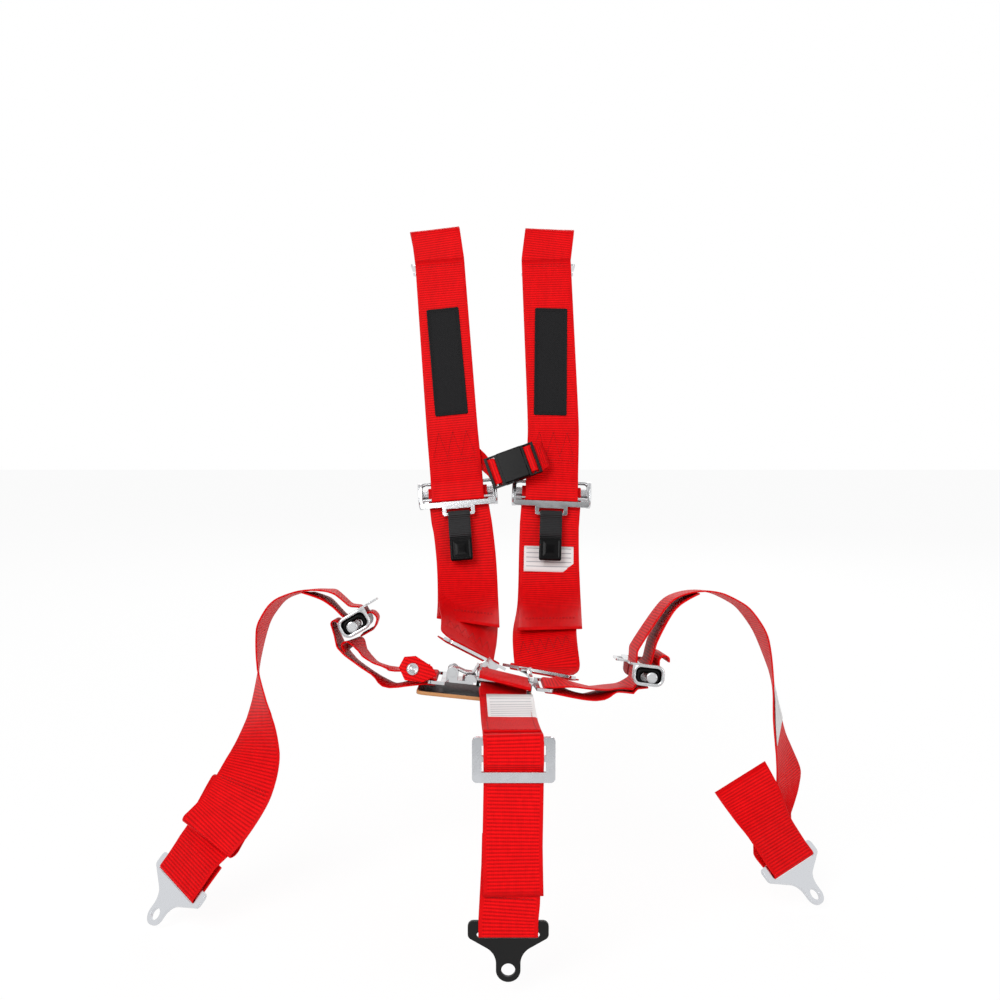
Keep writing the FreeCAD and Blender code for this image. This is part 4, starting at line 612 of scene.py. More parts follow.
def left_outer_route():
    """Left lap belt from its anchor plate, over its folded hem, up and into the adjuster."""
    arc = FIXED_RADIUS + WRAP
    low, top = BOLT_TO_SLOT + LOOP_HANG, BOLT_TO_SLOT + SLOT_HEIGHT + LOOP_BAR
    fold = (0.79, -0.52, -0.31)
    plate_loop = in_frame(LAP_PLATES["left"], [
        (0, top + 26, -FACE - 0.4, 0, ACROSS), (0, top, -FACE, 4, ACROSS),
        (0, low, -FACE, LOOP_RADIUS, ACROSS), (0, low, FACE, LOOP_RADIUS, ACROSS),
        (0, top, FACE, 8, ACROSS), (0, top + 22, FACE + 1, 10, ACROSS)])
    outer = plate_loop + [
        (-278, 163, 70, 14, (0.74, -0.6, -0.3)), (-263, 176, 97, 6, fold),
        (-266, 171, 99, 3, fold), (-280, 158, 72, 8, fold), (-289, 149, 57, 6, fold),
        (-293, 141, 60, 6, fold), (-277, 150, 76, 10, fold), (-259, 163, 101, 30, fold),
        (-249, 178, 131, 30, (0.7, -0.66, -0.25)), (-247, 193, 169, 40, (0.45, -0.88, -0.1)),
        (-250, 202, 215, 40, (0.15, -0.98, 0)), (-246, 207, 259, 25, FLAT),
        (-230, 208, 284, 25, FLAT), (-199, 208, 294, 40, FLAT), (-174, 206, 292, 25, FLAT)]
    wrap = in_frame(LAP_ADJUSTERS["left"], [
        (0, 0.9, 31, 20, NEAR), (0, -3, 16, 8, NEAR),
        (0, -FIXED_BELOW - arc, FIXED_FRONT + arc, arc, NEAR),
        (0, -FIXED_BELOW - arc, FIXED_FRONT - arc, arc, NEAR),
        (0, -1, FIXED_FRONT - arc, 8, NEAR), (0, 7, 8.5, 8, NEAR), (0, 10.5, 23, 10, NEAR)])
    return outer + wrap + [(-179, 206, 284, 20, FLAT), (-199, 208, 289, 0, FLAT)]


def left_inner_route():
    """Left lap belt from its curled tail round the slide bar and the latch plate's bar."""
    slot_mid = LATCH_SLOT_AT - SLOT_HEIGHT + WRAP
    bar_mid = LATCH_SLOT_AT - SLOT_HEIGHT - LATCH_BAR
    turn = WRAP + 0.5
    tail = in_frame(LAP_ADJUSTERS["left"], [
        (0, 2, -15.0, 0, NEAR), (0, -13, -15.3, 6, NEAR), (0, -21.5, -8, 6, NEAR),
        (0, -19, 0.5, 5, NEAR), (0, -8, 2.0, 8, NEAR), (0, 12.5, 2.6, 4, NEAR),
        (0, 15.5, 11.5, 5, NEAR), (0, 20.5, 11.5, 5, NEAR), (0, 23, -1, 8, NEAR)])
    loop = in_frame(LATCH, [
        (bar_mid - 14, 0, -4.8, 14, DOWN), (bar_mid, 0, -FACE, 6, DOWN),
        (slot_mid, 0, -FACE, turn, DOWN), (slot_mid, 0, FACE, turn, DOWN),
        (bar_mid, 0, FACE, 6, DOWN), (bar_mid - 12, 0, 8, 12, DOWN)])
    return tail + [
        (-167, 201, 235.5, 14, FLAT), (-156, 197, 224, 18, LEVEL), (-135, 189, 212.5, 20, LEVEL),
        (-111.5, 179, 200.8, 16, LEVEL)] + loop + [
        (-99.5, 179, 217.9, 16, LEVEL), (-120, 186, 218.2, 16, LEVEL),
        (-136, 192, 224.5, 12, LEVEL), (-146, 196, 235, 5, FLAT), (-151, 198, 243, 4, FLAT),
        (-158, 200, 242, 4, FLAT), (-156, 199, 234.5, 0, FLAT)]


def right_outer_route():
    """Right lap belt from its free tail through its anchor plate and into the adjuster."""
    arc = FIXED_RADIUS + WRAP
    low, top = BOLT_TO_SLOT + LOOP_HANG, BOLT_TO_SLOT + SLOT_HEIGHT + LOOP_BAR
    near_plate, leaning = (-0.714, -0.694, -0.08), (-0.3, -0.95, 0.05)
    through = in_frame(LAP_PLATES["right"], [
        (0, top, FACE, 8, NEAR), (0, low, FACE, LOOP_RADIUS, NEAR),
        (0, low, -FACE, LOOP_RADIUS, NEAR), (0, top, -FACE, 4, NEAR),
        (0, top + 12, -FACE - 1.0, 12, NEAR), (3, 63, -5.5, 8, NEAR),
        (20, 78, -6.5, 12, NEAR), (44, 90, -5, 12, NEAR)])
    outer = [(240, 220, 95, 0, (-0.75, -0.42, -0.3)), (255, 211, 71, 30, (-0.8, -0.5, -0.2)),
             (267, 201, 49, 30, near_plate)] + through + [
        (304, 268, 72, 14, (-0.57, -0.82, -0.03)), (297, 268, 100, 20, (-0.43, -0.9, 0)),
        (290.5, 261, 120, 30, (-0.35, -0.94, 0)), (282.6, 250, 151, 40, leaning),
        (275, 243, 196, 40, (-0.15, -0.98, 0.05)), (263, 236, 243, 40, FLAT),
        (241, 228, 272.5, 30, FLAT), (214, 220, 287, 30, FLAT), (184, 212, 294, 40, FLAT),
        (159, 204, 285, 25, FLAT)]
    wrap = in_frame(LAP_ADJUSTERS["right"], [
        (0, -7.0, 30, 20, ACROSS), (0, -11.6, 20, 8, ACROSS),
        (0, -FIXED_BELOW - arc, FIXED_FRONT + arc, arc, ACROSS),
        (0, -FIXED_BELOW - arc, FIXED_FRONT - arc, arc, ACROSS),
        (0, -3, FIXED_FRONT - arc, 8, ACROSS), (0, 3.5, 9, 8, ACROSS), (0, 5.0, 30, 16, ACROSS)])
    return outer + wrap + [(163.5, 203, 278.5, 25, FLAT), (188, 210, 288, 0, FLAT)]


def right_inner_route():
    """Right lap belt from under the adjuster round the link plate's bar to its curled tail."""
    slot_mid = LINK_SLOT_AT + SLOT_HEIGHT - WRAP
    bar_mid = LINK_SLOT_AT + SLOT_HEIGHT + LATCH_BAR
    turn = WRAP + 0.5
    loop = in_frame(LATCH, [
        (bar_mid + 24, 0, LINK_LIFT - 5.4, 14, DOWN), (bar_mid, 0, LINK_LIFT - FACE, 6, DOWN),
        (slot_mid, 0, LINK_LIFT - FACE, turn, DOWN), (slot_mid, 0, LINK_LIFT + FACE, turn, DOWN),
        (bar_mid, 0, LINK_LIFT + FACE, 6, DOWN), (bar_mid + 14, 0, LINK_LIFT + 5.6, 12, DOWN)])
    tail = in_frame(LAP_ADJUSTERS["right"], [
        (0, -16, -19, 8, ACROSS), (0, -8.8, -12, 6, ACROSS), (0, -8.4, 2.0, 5, ACROSS),
        (0, 11.5, 2.6, 4, ACROSS), (0, 10.5, 15, 5, ACROSS), (0, 15, 19.5, 4, ACROSS),
        (0, 20, 17.5, 3, ACROSS), (0, 20.5, 13, 0, ACROSS)])
    under = in_frame(LAP_ADJUSTERS["right"], [
        (0, 3, -13.8, 0, ACROSS), (0, -7, -16, 8, ACROSS), (0, -15, -22.5, 8, ACROSS)])
    return under + [(97, 191, 192, 20, LEVEL), (82, 183, 189.5, 20, LEVEL)] + loop + [
        (73.5, 179, 202, 14, LEVEL), (84, 184, 197, 16, LEVEL), (99, 192, 196, 14, LEVEL)
        ] + tail


def crotch_route():
    """Over the link tips' eyes, forward and down through the slide to the free tail."""
    high, deep = 7.0, 9.5
    at = (LEFT_EYE_AT + RIGHT_EYE_AT) / 2
    tilt = (0.985, 0, -0.17)
    mid, low_bar = SLIDE_MID / 2, SLIDE_MID / 2 + SLIDE_WINDOW
    over = in_frame(LATCH, [
        (at, -36, 5.2, 0, tilt), (at, -deep - 12, high + LINK_LIFT, 14, tilt),
        (at, deep, high + LINK_LIFT, 5, tilt), (at, deep, LINK_LIFT - high, 5, tilt),
        (at, -deep - 2, LINK_LIFT - high, 8, tilt)])
    main = over + [
        (-1, 127, 204.8, 10, (1, 0, -0.06)), (0, 108, 198.5, 20, ACROSS),
        (1.5, 70, 196, 40, ACROSS), (3, 32, 200.5, 30, ACROSS), (4, -3.2, 206.0, 3, ACROSS)]
    threaded = in_frame(CROTCH_SLIDE, [
        (0, 12, FACE, 8, ACROSS), (0, -mid - 1, FACE, 3, ACROSS),
        (0, -low_bar + 1, -FACE, 3, ACROSS), (0, -low_bar - 10, -FACE, 8, ACROSS)])
    return main + threaded + [(4.3, 1.5, 150, 30, ACROSS), (3.5, -3.0, 110, 30, ACROSS),
                              (4.4, -4.8, 67, 0, ACROSS)]


def crotch_anchor_route():
    """Behind the slide, down to the anchor plate's bar and up again."""
    mid, low_bar = SLIDE_MID / 2, SLIDE_MID / 2 + SLIDE_WINDOW
    low = CROTCH_BOLT_TO_SLOT + LOOP_HANG
    top = CROTCH_BOLT_TO_SLOT + SLOT_HEIGHT + LOOP_BAR
    head = in_frame(CROTCH_SLIDE, [
        (0, 18, -FACE, 0, ACROSS), (0, mid, -FACE, 10, ACROSS),
        (0, -low_bar, -FACE - PLY, 10, ACROSS), (0, -low_bar - 12, -FACE - PLY, 10, ACROSS)])
    loop = in_frame(CROTCH_PLATE, [
        (1.5, 60, FACE, 10, ACROSS), (0, top, FACE, 4, ACROSS),
        (0, low, FACE, LOOP_RADIUS, ACROSS), (0, low, -FACE, LOOP_RADIUS, ACROSS),
        (0, top, -FACE, 4, ACROSS)])
    return head + [(3.8, 1.9, 120, 30, ACROSS)] + loop + [
        (2.5, 3.6, 90, 20, ACROSS), (3.2, 4.2, 118, 0, ACROSS)]


CROTCH_OVERLAY = [(-1, 124, 205.9, 0, (1, 0, -0.06)), (0, 107.5, 200.4, 20, ACROSS),
                  (1.5, 70, 197.9, 40, ACROSS), (2.9, 33, 202.3, 30, ACROSS),
                  (3.5, 9, 206.0, 0, ACROSS)]
LABEL_RISE = (WEB_THICK + LABEL_THICK) / 2 + 0.2
CROTCH_LABEL = [(2, 124, 205.7 + LABEL_RISE, 0, (1, 0, -0.06)),
                (3, 107.5, 200.4 + LABEL_RISE, 20, ACROSS),
                (4.4, 72, 198.0 + LABEL_RISE, 0, ACROSS)]
SHOULDER_LABEL = [(50.4, 416.9, 306.4, 0, WIDTHS["right"]),
                  (50, 412.2, 291.8, 40, WIDTHS["right"]),
                  (49.6, 403.0, 278.4, 0, WIDTHS["right"])]
LAP_LABEL = [(288.1, 254.0, 132.2, 0, (-0.36, -0.93, 0.03)),
             (283.9, 249.6, 151.2, 40, (-0.3, -0.95, 0.05)),
             (278.8, 244.9, 182.2, 0, (-0.2, -0.98, 0.05))]


def sternum_route(side):
    """A sternum web from behind its shoulder strap through its buckle ladder."""
    inner = BUCKLE_REACH + LADDER_BAR
    outer = BUCKLE_REACH + LADDER_LENGTH
    # The ladder's outer slot takes a little over a third of its open length
    slot = (LADDER_LENGTH - LADDER_BAR * 2) * 0.36
    a, b = inner + WEB_THICK / 2 + 0.05, outer - LADDER_BAR - slot / 2
    steep, up = (-0.05, 0.344, 0.939), (0, 1, 0)
    if side == "left":
        return [(-62, 468.7, 413, 0, steep), (-36, 468.6, 410.9, 8, steep),
                (-22.3, 444.0, 399.8, 8, steep)] + in_frame(BUCKLE, [
                    (-b, 0, -5, 3, up), (-b, 0, 3.2, 1.4, up), (-a, 0, 3.2, 1.4, up),
                    (-a, 0, -6.4, 1.4, up), (-outer + LADDER_BAR + 4, 0, -6.9, 0, up)])
    return [(58, 471.1, 419.6, 0, steep), (32, 470.7, 415.5, 10, steep),
            (16, 461.2, 407.2, 8, steep), (16, 449.2, 406.3, 8, steep)] + in_frame(
        BUCKLE, [
            (a, 0, -12, 4, up), (a, 0, 3.2, 1.4, up), (b, 0, 3.2, 1.4, up), (b, 0, -3.2, 2, up),
            (outer - LADDER_BAR + 5, 0, -4.5, 5, up)]) + [
        (47, 439, 413.5, 0, (-0.3, 0.4, 0.87))]


def pull_route(side):
    """A pull tab's strap, doubled over the bar of the adjuster's centre tab."""
    arm = math.hypot(TAB_BAR, SHEET_THICK) / 2 + 0.4 + PULL_THICK / 2
    foot = TAB_BAR_Y - PULL_LENGTH
    lean = PULL_THICK / 2 + 0.1
    y, z = TAB_BAR_Y, TAB_BAR_Z
    return in_frame(ADJUSTERS[side], [
        (0, foot, z - lean, 0, ACROSS), (0, y - 6, z - lean, 6, ACROSS),
        (0, y, z - arm, 3, ACROSS), (0, y + arm, z - arm, arm, ACROSS),
        (0, y + arm, z + arm, arm, ACROSS), (0, y - 1, z + arm, 3, ACROSS),
        (0, y - 6.5, z + lean, 6, ACROSS), (0, foot, z + lean, 0, ACROSS)])


# ---------------------------------------------------------------- straps


def rounded(points):
    """Turn a route's corners into tangent arcs, as a list of (place, across, slack)."""
    places = [Vector(point[:3]) for point in points]
    widths = [Vector(point[4]).normalized() for point in points]
    route = []
    for index, place in enumerate(places):
        radius = points[index][3]
        loose = 1.0 if radius >= LOOSE_BEND else 0.0
        if index in (0, len(places) - 1) or radius <= 0:
            route.append((place, widths[index], 0.0))
            continue
        back = (places[index - 1] - place).normalized()
        ahead = (places[index + 1] - place).normalized()
        half = math.acos(max(-1.0, min(1.0, back.dot(ahead)))) / 2
        # Less than half a run each, so that two arcs never meet
        room = 0.499 * min((places[index - 1] - place).length, (places[index + 1] - place).length)
        reach = min(radius / math.tan(half), room)
        radius = reach * math.tan(half)
        centre = place + (back + ahead).normalized() * (radius / math.sin(half))
        first, last = place + back * reach - centre, place + ahead * reach - centre
        turn = math.pi - 2 * half
        count = max(2, math.ceil(turn / math.radians(ARC_STEP)))
        for part in range(count + 1):
            share = part / count
            arm = first * math.sin((1 - share) * turn) + last * math.sin(share * turn)
            route.append((centre + arm / math.sin(turn), widths[index], loose))
    return route


def divided(route, step):
    """Add places between those of a route, so that no two are more than a step apart."""
    fine = [route[0]]
    for (here, wide, slack), (there, next_wide, next_slack) in zip(route, route[1:]):
        gap = (there - here).length
        if gap < LEAST_GAP:
            continue
        count = max(1, math.ceil(gap / step))
        for part in range(1, count + 1):
            share = part / count
            fine.append((here.lerp(there, share), wide.lerp(next_wide, share).normalized(),
                         slack + (next_slack - slack) * share))
    return fine


def sections(points, square=True):
    """Walk a route of straight runs and tangent arcs, and return a list of sections.

    Each section is (centre, across, normal, distance along the strap), in millimetres.
    """
    fine = relaxed(divided(rounded(points), sizes().run_step / MM))
    found, along = [], 0.0
    for index, (spot, across) in enumerate(fine):
        before = fine[max(index - 1, 0)][0]
        after = fine[min(index + 1, len(fine) - 1)][0]
        if 0 < index < len(fine) - 1:
            tangent = ((spot - before).normalized() + (after - spot).normalized()).normalized()
        else:
            tangent = (after - before).normalized()
        if square:
            across = (across - tangent * across.dot(tangent)).normalized()
        along += (spot - before).length
        found.append((spot, across, tangent, along))
    return [(spot, across, across.cross(tangent).normalized(), along)
            for (spot, _, tangent, along), across in zip(found, levelled(found))]


def levelled(found):
    """Average each section's across direction with its neighbours', so none cross over."""
    shares = []
    for index in range(len(found)):
        before, after = found[max(index - 1, 0)][3], found[min(index + 1, len(found) - 1)][3]
        shares.append(after - before)
    level = []
    for index, section in enumerate(found):
        total = section[1] * (LEVEL_REACH * shares[index])
        for step in (-1, 1):
            other = index + step
            while 0 <= other < len(found):
                near = LEVEL_REACH - abs(found[other][3] - section[3])
                if near <= 0:
                    break
                total += found[other][1] * (near * shares[other])
                other += step
        level.append(total.normalized())
    return level


def relaxed(fine):
    """Ease the loose stretches of a strap, so that its bends and twists run smoothly.

    Each (place, across, slack) moves towards its neighbours in proportion to its slack,
    so that the stretches that hug a bar stay as they are.
    """
    places = [place.copy() for place, _, _ in fine]
    widths = [across.copy() for _, across, _ in fine]
    for _ in range(EASE_PASSES):
        eased, turned_to = list(places), list(widths)
        for index in range(1, len(fine) - 1):
            before = (places[index] - places[index - 1]).length
            after = (places[index + 1] - places[index]).length
            share = before / (before + after)
            middle = places[index - 1].lerp(places[index + 1], share)
            eased[index] = places[index].lerp(middle, 0.5 * fine[index][2])
            level = widths[index - 1].lerp(widths[index + 1], share)
            turned_to[index] = widths[index].lerp(level, 0.5).normalized()
        places, widths = eased, turned_to
    return list(zip(places, widths))


def section_outline(half, thick, columns):
    """One strap section as (offset across, offset out, selvedge) corners, rounded at its edges."""
    edge = thick / 2
    inner = half - edge - HEM
    tops = [-half + edge, -inner - HEM_STEP] + [
        -inner + 2 * inner * column / columns for column in range(columns + 1)] + [
        inner + HEM_STEP, half - edge]
    flags = [1.0, 1.0] + [0.0] * (columns + 1) + [1.0, 1.0]
    round_right = [(half - edge + edge * math.cos(angle), edge * math.sin(angle), 1.0)
                   for angle in (math.radians(54), math.radians(18), math.radians(-18),
                                 math.radians(-54))]
    top = [(x, edge, flag) for x, flag in zip(tops, flags)]
    bottom = [(-x, -y, flag) for x, y, flag in top]
    round_left = [(-x, -y, flag) for x, y, flag in round_right]
    return top + round_right + bottom + round_left


def new_piece(name, points, faces, finish, body=ROOT, uvs=None, flags=None,
              smooth=True):
    """Make a mesh object from millimetre points, give it its finish and put it on its body."""
    mesh = bpy.data.meshes.new(name)
    mesh.from_pydata([tuple(Vector(point) * MM) for point in points], [], faces)
    if uvs:
        layer = mesh.uv_layers.new(name="weave")
        for loop in mesh.loops:
            layer.data[loop.index].uv = uvs[loop.vertex_index]
    if flags:
        edge = mesh.attributes.new("selvedge", "FLOAT", "POINT")
        edge.data.foreach_set("value", flags)
    mesh.polygons.foreach_set("use_smooth", [smooth] * len(mesh.polygons))
    mesh.update()
    piece = bpy.data.objects.new(name, mesh)
    bpy.context.scene.collection.objects.link(piece)
    mesh.materials.append(FINISHES[finish])
    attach(piece, body)
    return piece


def strap(name, points, width, finish="red_webbing", thick=WEB_THICK, taper=None, square=True,
          body=ROOT, node=None):
    """Webbing that follows its route, with rounded selvedges and pressed cut ends."""
    line = sections(points, square)
    rings, uvs, flags = [], [], []
    total = line[-1][3]
    for spot, across, normal, along in line:
        half = width / 2 * (taper(spot) if taper else 1.0)
        outline = section_outline(half, thick, sizes().columns)
        cut = 1.0 if min(along, total - along) < CUT_END else 0.0
        rings.append([spot + across * x + normal * y for x, y, _ in outline])
        uvs += [(x * MM, along * MM) for x, _, _ in outline]
        flags += [max(flag, cut) for _, _, flag in outline]
    piece = loft(name, rings, finish, body, uvs=uvs, flags=flags)
    if node:
        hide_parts(node)
    return piece


def spot_on(line, along, across, lift, facing):
    """A point on a strap's face, and the normal there, turned to the side that is named."""
    index = 0
    while index < len(line) - 2 and line[index + 1][3] < along:
        index += 1
    here, there = line[index], line[index + 1]
    share = (along - here[3]) / max(there[3] - here[3], 1e-6)
    share = max(0.0, min(1.0, share))
    normal = here[2].lerp(there[2], share).normalized()
    if normal.dot(Vector(facing)) < 0:
        normal = -normal
    centre = here[0].lerp(there[0], share)
    wide = here[1].lerp(there[1], share)
    return centre + wide * across + normal * lift, normal


def flat_line(place, half):
    """The two ends of a flat piece's length, as a strap's sections."""
    turn = place.to_3x3()
    return [(place @ Vector((0, y, 0)), turn @ Vector((1, 0, 0)), turn @ Vector((0, 0, 1)),
             y + half) for y in (-half, half)]


def nearest_along(line, point):
    """How far along its route a strap passes nearest to a point."""
    best = min(line, key=lambda section: (section[0] - Vector(point)).length)
    return best[3]


def add_stitch(verts, faces, start, end, normal, radius):
    """Add one stitch: a spindle of thread from start to end."""
    side = (end - start).cross(normal).normalized()
    base = len(verts)
    for at, swell in SPINDLE:
        centre = start.lerp(end, at + 0.5)
        for corner in range(SPINDLE_SIDES):
            angle = math.radians(360 / SPINDLE_SIDES * corner)
            verts.append(centre + side * (radius * swell * math.cos(angle))
                         + normal * (radius * swell * math.sin(angle)))
    last = base + (len(SPINDLE) - 1) * SPINDLE_SIDES
    for ring in range(base, last, SPINDLE_SIDES):
        for corner in range(SPINDLE_SIDES):
            a, b = ring + corner, ring + (corner + 1) % SPINDLE_SIDES
            faces.append((a, b, b + SPINDLE_SIDES, a + SPINDLE_SIDES))
    faces.append(tuple(base + corner for corner in reversed(range(SPINDLE_SIDES))))
    faces.append(tuple(last + corner for corner in range(SPINDLE_SIDES)))


def stitching(name, line, rows, facing=(0, -1, 0), finish="red_thread", thick=WEB_THICK):
    """Lockstitches as small spindles of thread along polylines of (along, across) points.

    They are longer and thicker than real ones, so that a row still shows.
    """
    pitch = (sizes().stitch_length + sizes().stitch_gap) / MM
    radius = sizes().thread / MM / 2
    lift = thick / 2 + radius * THREAD_LIFT
    verts, faces = [], []
    for row in rows:
        for (s0, u0), (s1, u1) in zip(row, row[1:]):
            count = max(1, round(math.hypot(s1 - s0, u1 - u0) / pitch))
            for number in range(count):
                (start, normal), (end, _) = [
                    spot_on(line, s0 + (s1 - s0) * share, u0 + (u1 - u0) * share, lift, facing)
                    for share in [(number + end) / count for end in STITCH_ENDS]]
                add_stitch(verts, faces, start, end, normal, radius)
    return new_piece(name, verts, faces, finish, ROOT)


def zigzag(start, end, half, waves):
    """A zigzag across a strap, from one distance along it to another, as one polyline."""
    points = []
    for index in range(waves * 2 + 1):
        across = -half + 2 * half * index / (waves * 2)
        points.append((start if index % 2 else end, across))
    return points


def row_across(at, half):
    """A straight row across a strap."""
    return [(at, -half), (at, half)]


def box_row(start, end, half):
    """A box of four rows, as one polyline."""
    return [(start, -half), (end, -half), (end, half), (start, half), (start, -half)]


# ---------------------------------------------------------------- solid pieces


def loft(name, rings, finish, body=ROOT, hoop=False, uvs=None, flags=None,
         smooth=True):
    """Join equal rings of points: a face over each end, or the last ring back to the first."""
    count = len(rings[0])
    points = [point for ring in rings for point in ring]
    faces = []
    for row in range(len(rings) if hoop else len(rings) - 1):
        for corner in range(count):
            a, b = row * count + corner, row * count + (corner + 1) % count
            c, d = (b + count) % len(points), (a + count) % len(points)
            faces.append((a, b, c, d))
    if not hoop:
        faces.append(tuple(reversed(range(count))))
        faces.append(tuple(range(len(points) - count, len(points))))
    return new_piece(name, points, faces, finish, body, uvs, flags, smooth)


def round_rectangle(half_x, half_y, corner):
    """Points round a rectangle with rounded corners, anticlockwise."""
    points = []
    for quarter, (sx, sy) in enumerate(((1, 1), (-1, 1), (-1, -1), (1, -1))):
        for step in range(CORNER_STEPS + 1):
            angle = math.radians(90 * (quarter + step / CORNER_STEPS))
            points.append((sx * (half_x - corner) + corner * math.cos(angle),
                           sy * (half_y - corner) + corner * math.sin(angle)))
    return points


def cushion_rings(place, half_x, half_y, corner, profile):
    """Rings of a rounded rectangle, one for each (inset, height) of its profile."""
    rings = []
    for inset, height in profile:
        radius = max(corner - inset, 0.15)
        rings.append([place @ Vector((x, y, height)) for x, y in
                      round_rectangle(half_x - inset, half_y - inset, radius)])
    return rings


def cheek_loop(place, sign, shape, inset, x):
    """A rounded oblong in an adjuster's cheek plane, at x outwards on the side named by sign."""
    half_y, half_z, corner, y0, z0 = shape
    radius = max(corner - inset, 0.3)
    points = round_rectangle(half_y - inset, half_z - inset, radius)
    return [place @ Vector((sign * x, y0 + y, z0 + sign * z)) for y, z in points]


def turned(name, place, profile, finish, body=ROOT):
    """A piece turned about its frame's X axis from (along, radius) points."""
    angles = [math.tau * step / TURN_SEGMENTS for step in range(TURN_SEGMENTS)]
    rings = [[place @ Vector((x, radius * math.cos(angle), radius * math.sin(angle)))
              for angle in angles] for x, radius in profile]
    return loft(name, rings, finish, body)


def each_adjuster():
    """The kind, side and frame of the four adjusters."""
    return [(kind, side, place)
            for kind, places in (("shoulder", ADJUSTERS), ("lap", LAP_ADJUSTERS))
            for side, place in places.items()]


def finish_nodes(names, finish):
    """Give carried-over CAD nodes their procedural finish."""
    for name in names:
        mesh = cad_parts[name].data
        mesh.materials.clear()
        mesh.materials.append(FINISHES[finish])


def join(name, pieces):
    """Join pieces that are sewn or pressed together into one object."""
    bpy.ops.object.select_all(action="DESELECT")
    for piece in pieces:
        piece.select_set(True)
    bpy.context.view_layer.objects.active = pieces[0]
    bpy.ops.object.join()
    pieces[0].name = name
    return pieces[0]


# ---------------------------------------------------------------- operators


class HARNESS_OT_shoulder_webbing(bpy.types.Operator):
    """Weave the upper and lower shoulder webbing with its sewn joins"""
    bl_idname = "harness.shoulder_webbing"
    bl_label = "Shoulder Webbing"

    def execute(self, context):
        mm = sizes()
        for side in SIDES:
            name = f"shoulder_{side}"
            upper, lower = upper_route(side), lower_route(side)
            strap(f"{side}_upper_strap", upper, mm.upper_web / MM, node=name + "_upper_webbing")
            strap(f"{side}_lower_strap", lower, mm.wide_web / MM, node=name + "_lower_webbing")
            line = sections(upper)
            half = mm.upper_web / MM / 2 - 6
            join, join_end = 228, 262
            rows = [zigzag(join, join_end, half, 3)]
            rows += [row_across(join_end + gap, half) for gap in (4, 8)]
            rows += [row_across(at, half + 2) for at in (7, 10)]
            stitching(f"{side}_upper_strap_stitching", line, rows)
            line = sections(lower)
            end = line[-1][3]
            half = mm.wide_web / MM / 2 - 7
            foot = nearest_along(line, LOWERS[side][-1][:3])
            rows = [row_across(end - inset, half) for inset in (34, 31)]
            rows += [zigzag(foot - 4, foot - 22, half, 6), row_across(foot - 26, half)]
            stitching(f"{side}_lower_strap_stitching", line, rows)
        return {"FINISHED"}


class HARNESS_OT_lap_webbing(bpy.types.Operator):
    """Weave the lap webbing, its folded hems and curled tails"""
    bl_idname = "harness.lap_webbing"
    bl_label = "Lap Webbing"

    def execute(self, context):
        wide = sizes().wide_web / MM
        strap("left_lap_outer_strap", left_outer_route(), wide, node="lap_left_outer_webbing")
        strap("left_lap_inner_strap", left_inner_route(), wide, node="lap_left_inner_webbing")
        strap("right_lap_outer_strap", right_outer_route(), wide, square=False,
              node="lap_right_outer_webbing")
        strap("right_lap_inner_strap", right_inner_route(), wide, node="lap_right_inner_webbing")
        half = wide / 2 - 6
        line = sections(left_outer_route())
        fold = nearest_along(line, (-259, 163, 101))
        foot = nearest_along(line, (-283, 158, 60))
        rows = [row_across(at, half) for at in (foot, foot + 3, fold + 2, fold + 5)]
        stitching("left_lap_stitching", line, rows, facing=(-0.7, -0.7, 0.2))
        line = sections(right_outer_route(), square=False)
        rows = [box_row(8, 40, half), [(8, -half), (40, half)], [(8, half), (40, -half)]]
        stitching("right_lap_stitching", line, rows, facing=(-0.6, 0.6, 0.3))
        return {"FINISHED"}


class HARNESS_OT_crotch_webbing(bpy.types.Operator):
    """Weave the crotch webbing, its anchor loop and the doubled top ply"""
    bl_idname = "harness.crotch_webbing"
    bl_label = "Crotch Webbing"

    def execute(self, context):
        wide = sizes().crotch_web / MM

        def narrowed(spot):
            return 0.92 if spot.y > 150 else 1.0

        strap("crotch_strap", crotch_route(), wide, taper=narrowed, node="crotch_webbing")
        strap("crotch_anchor_strap", crotch_anchor_route(), wide, node="crotch_anchor_webbing")
        strap("crotch_top_strap", CROTCH_OVERLAY, wide - 2, node="crotch_top_ply")
        half = wide / 2 - 5
        line = sections(CROTCH_OVERLAY)
        end = line[-1][3]
        rows = [row_across(end - 2.5, half), [(4, -half), (end - 2.5, -half)],
                [(4, half), (end - 2.5, half)]]
        stitching("crotch_top_stitching", line, rows, facing=(0, -0.3, 1))
        line = sections(crotch_anchor_route())
        low = nearest_along(line, (1.5, -FACE, 58))
        rows = [row_across(at, half) for at in (low - 8, low - 5)]
        stitching("crotch_anchor_stitching", line, rows, facing=(0, -1, 0))
        return {"FINISHED"}


class HARNESS_OT_sternum_webbing(bpy.types.Operator):
    """Weave the two sternum webs through the buckle's ladders"""
    bl_idname = "harness.sternum_webbing"
    bl_label = "Sternum Webbing"

    def execute(self, context):
        def drawn_in(spot):
            return 0.8 if spot.y > 440 else 1.0

        wide = sizes().sternum_web / MM
        for side in SIDES:
            strap(f"sternum_{side}_strap", sternum_route(side), wide, taper=drawn_in,
                  square=False, node=f"sternum_{side}_web")
        line = sections(sternum_route("right"), square=False)
        end = line[-1][3]
        half = wide / 2 - 4
        rows = [[(at, -half), (at - 9, 0), (at, half)] for at in (end - 3, end - 6)]
        stitching("sternum_stitching", line, rows)
        return {"FINISHED"}


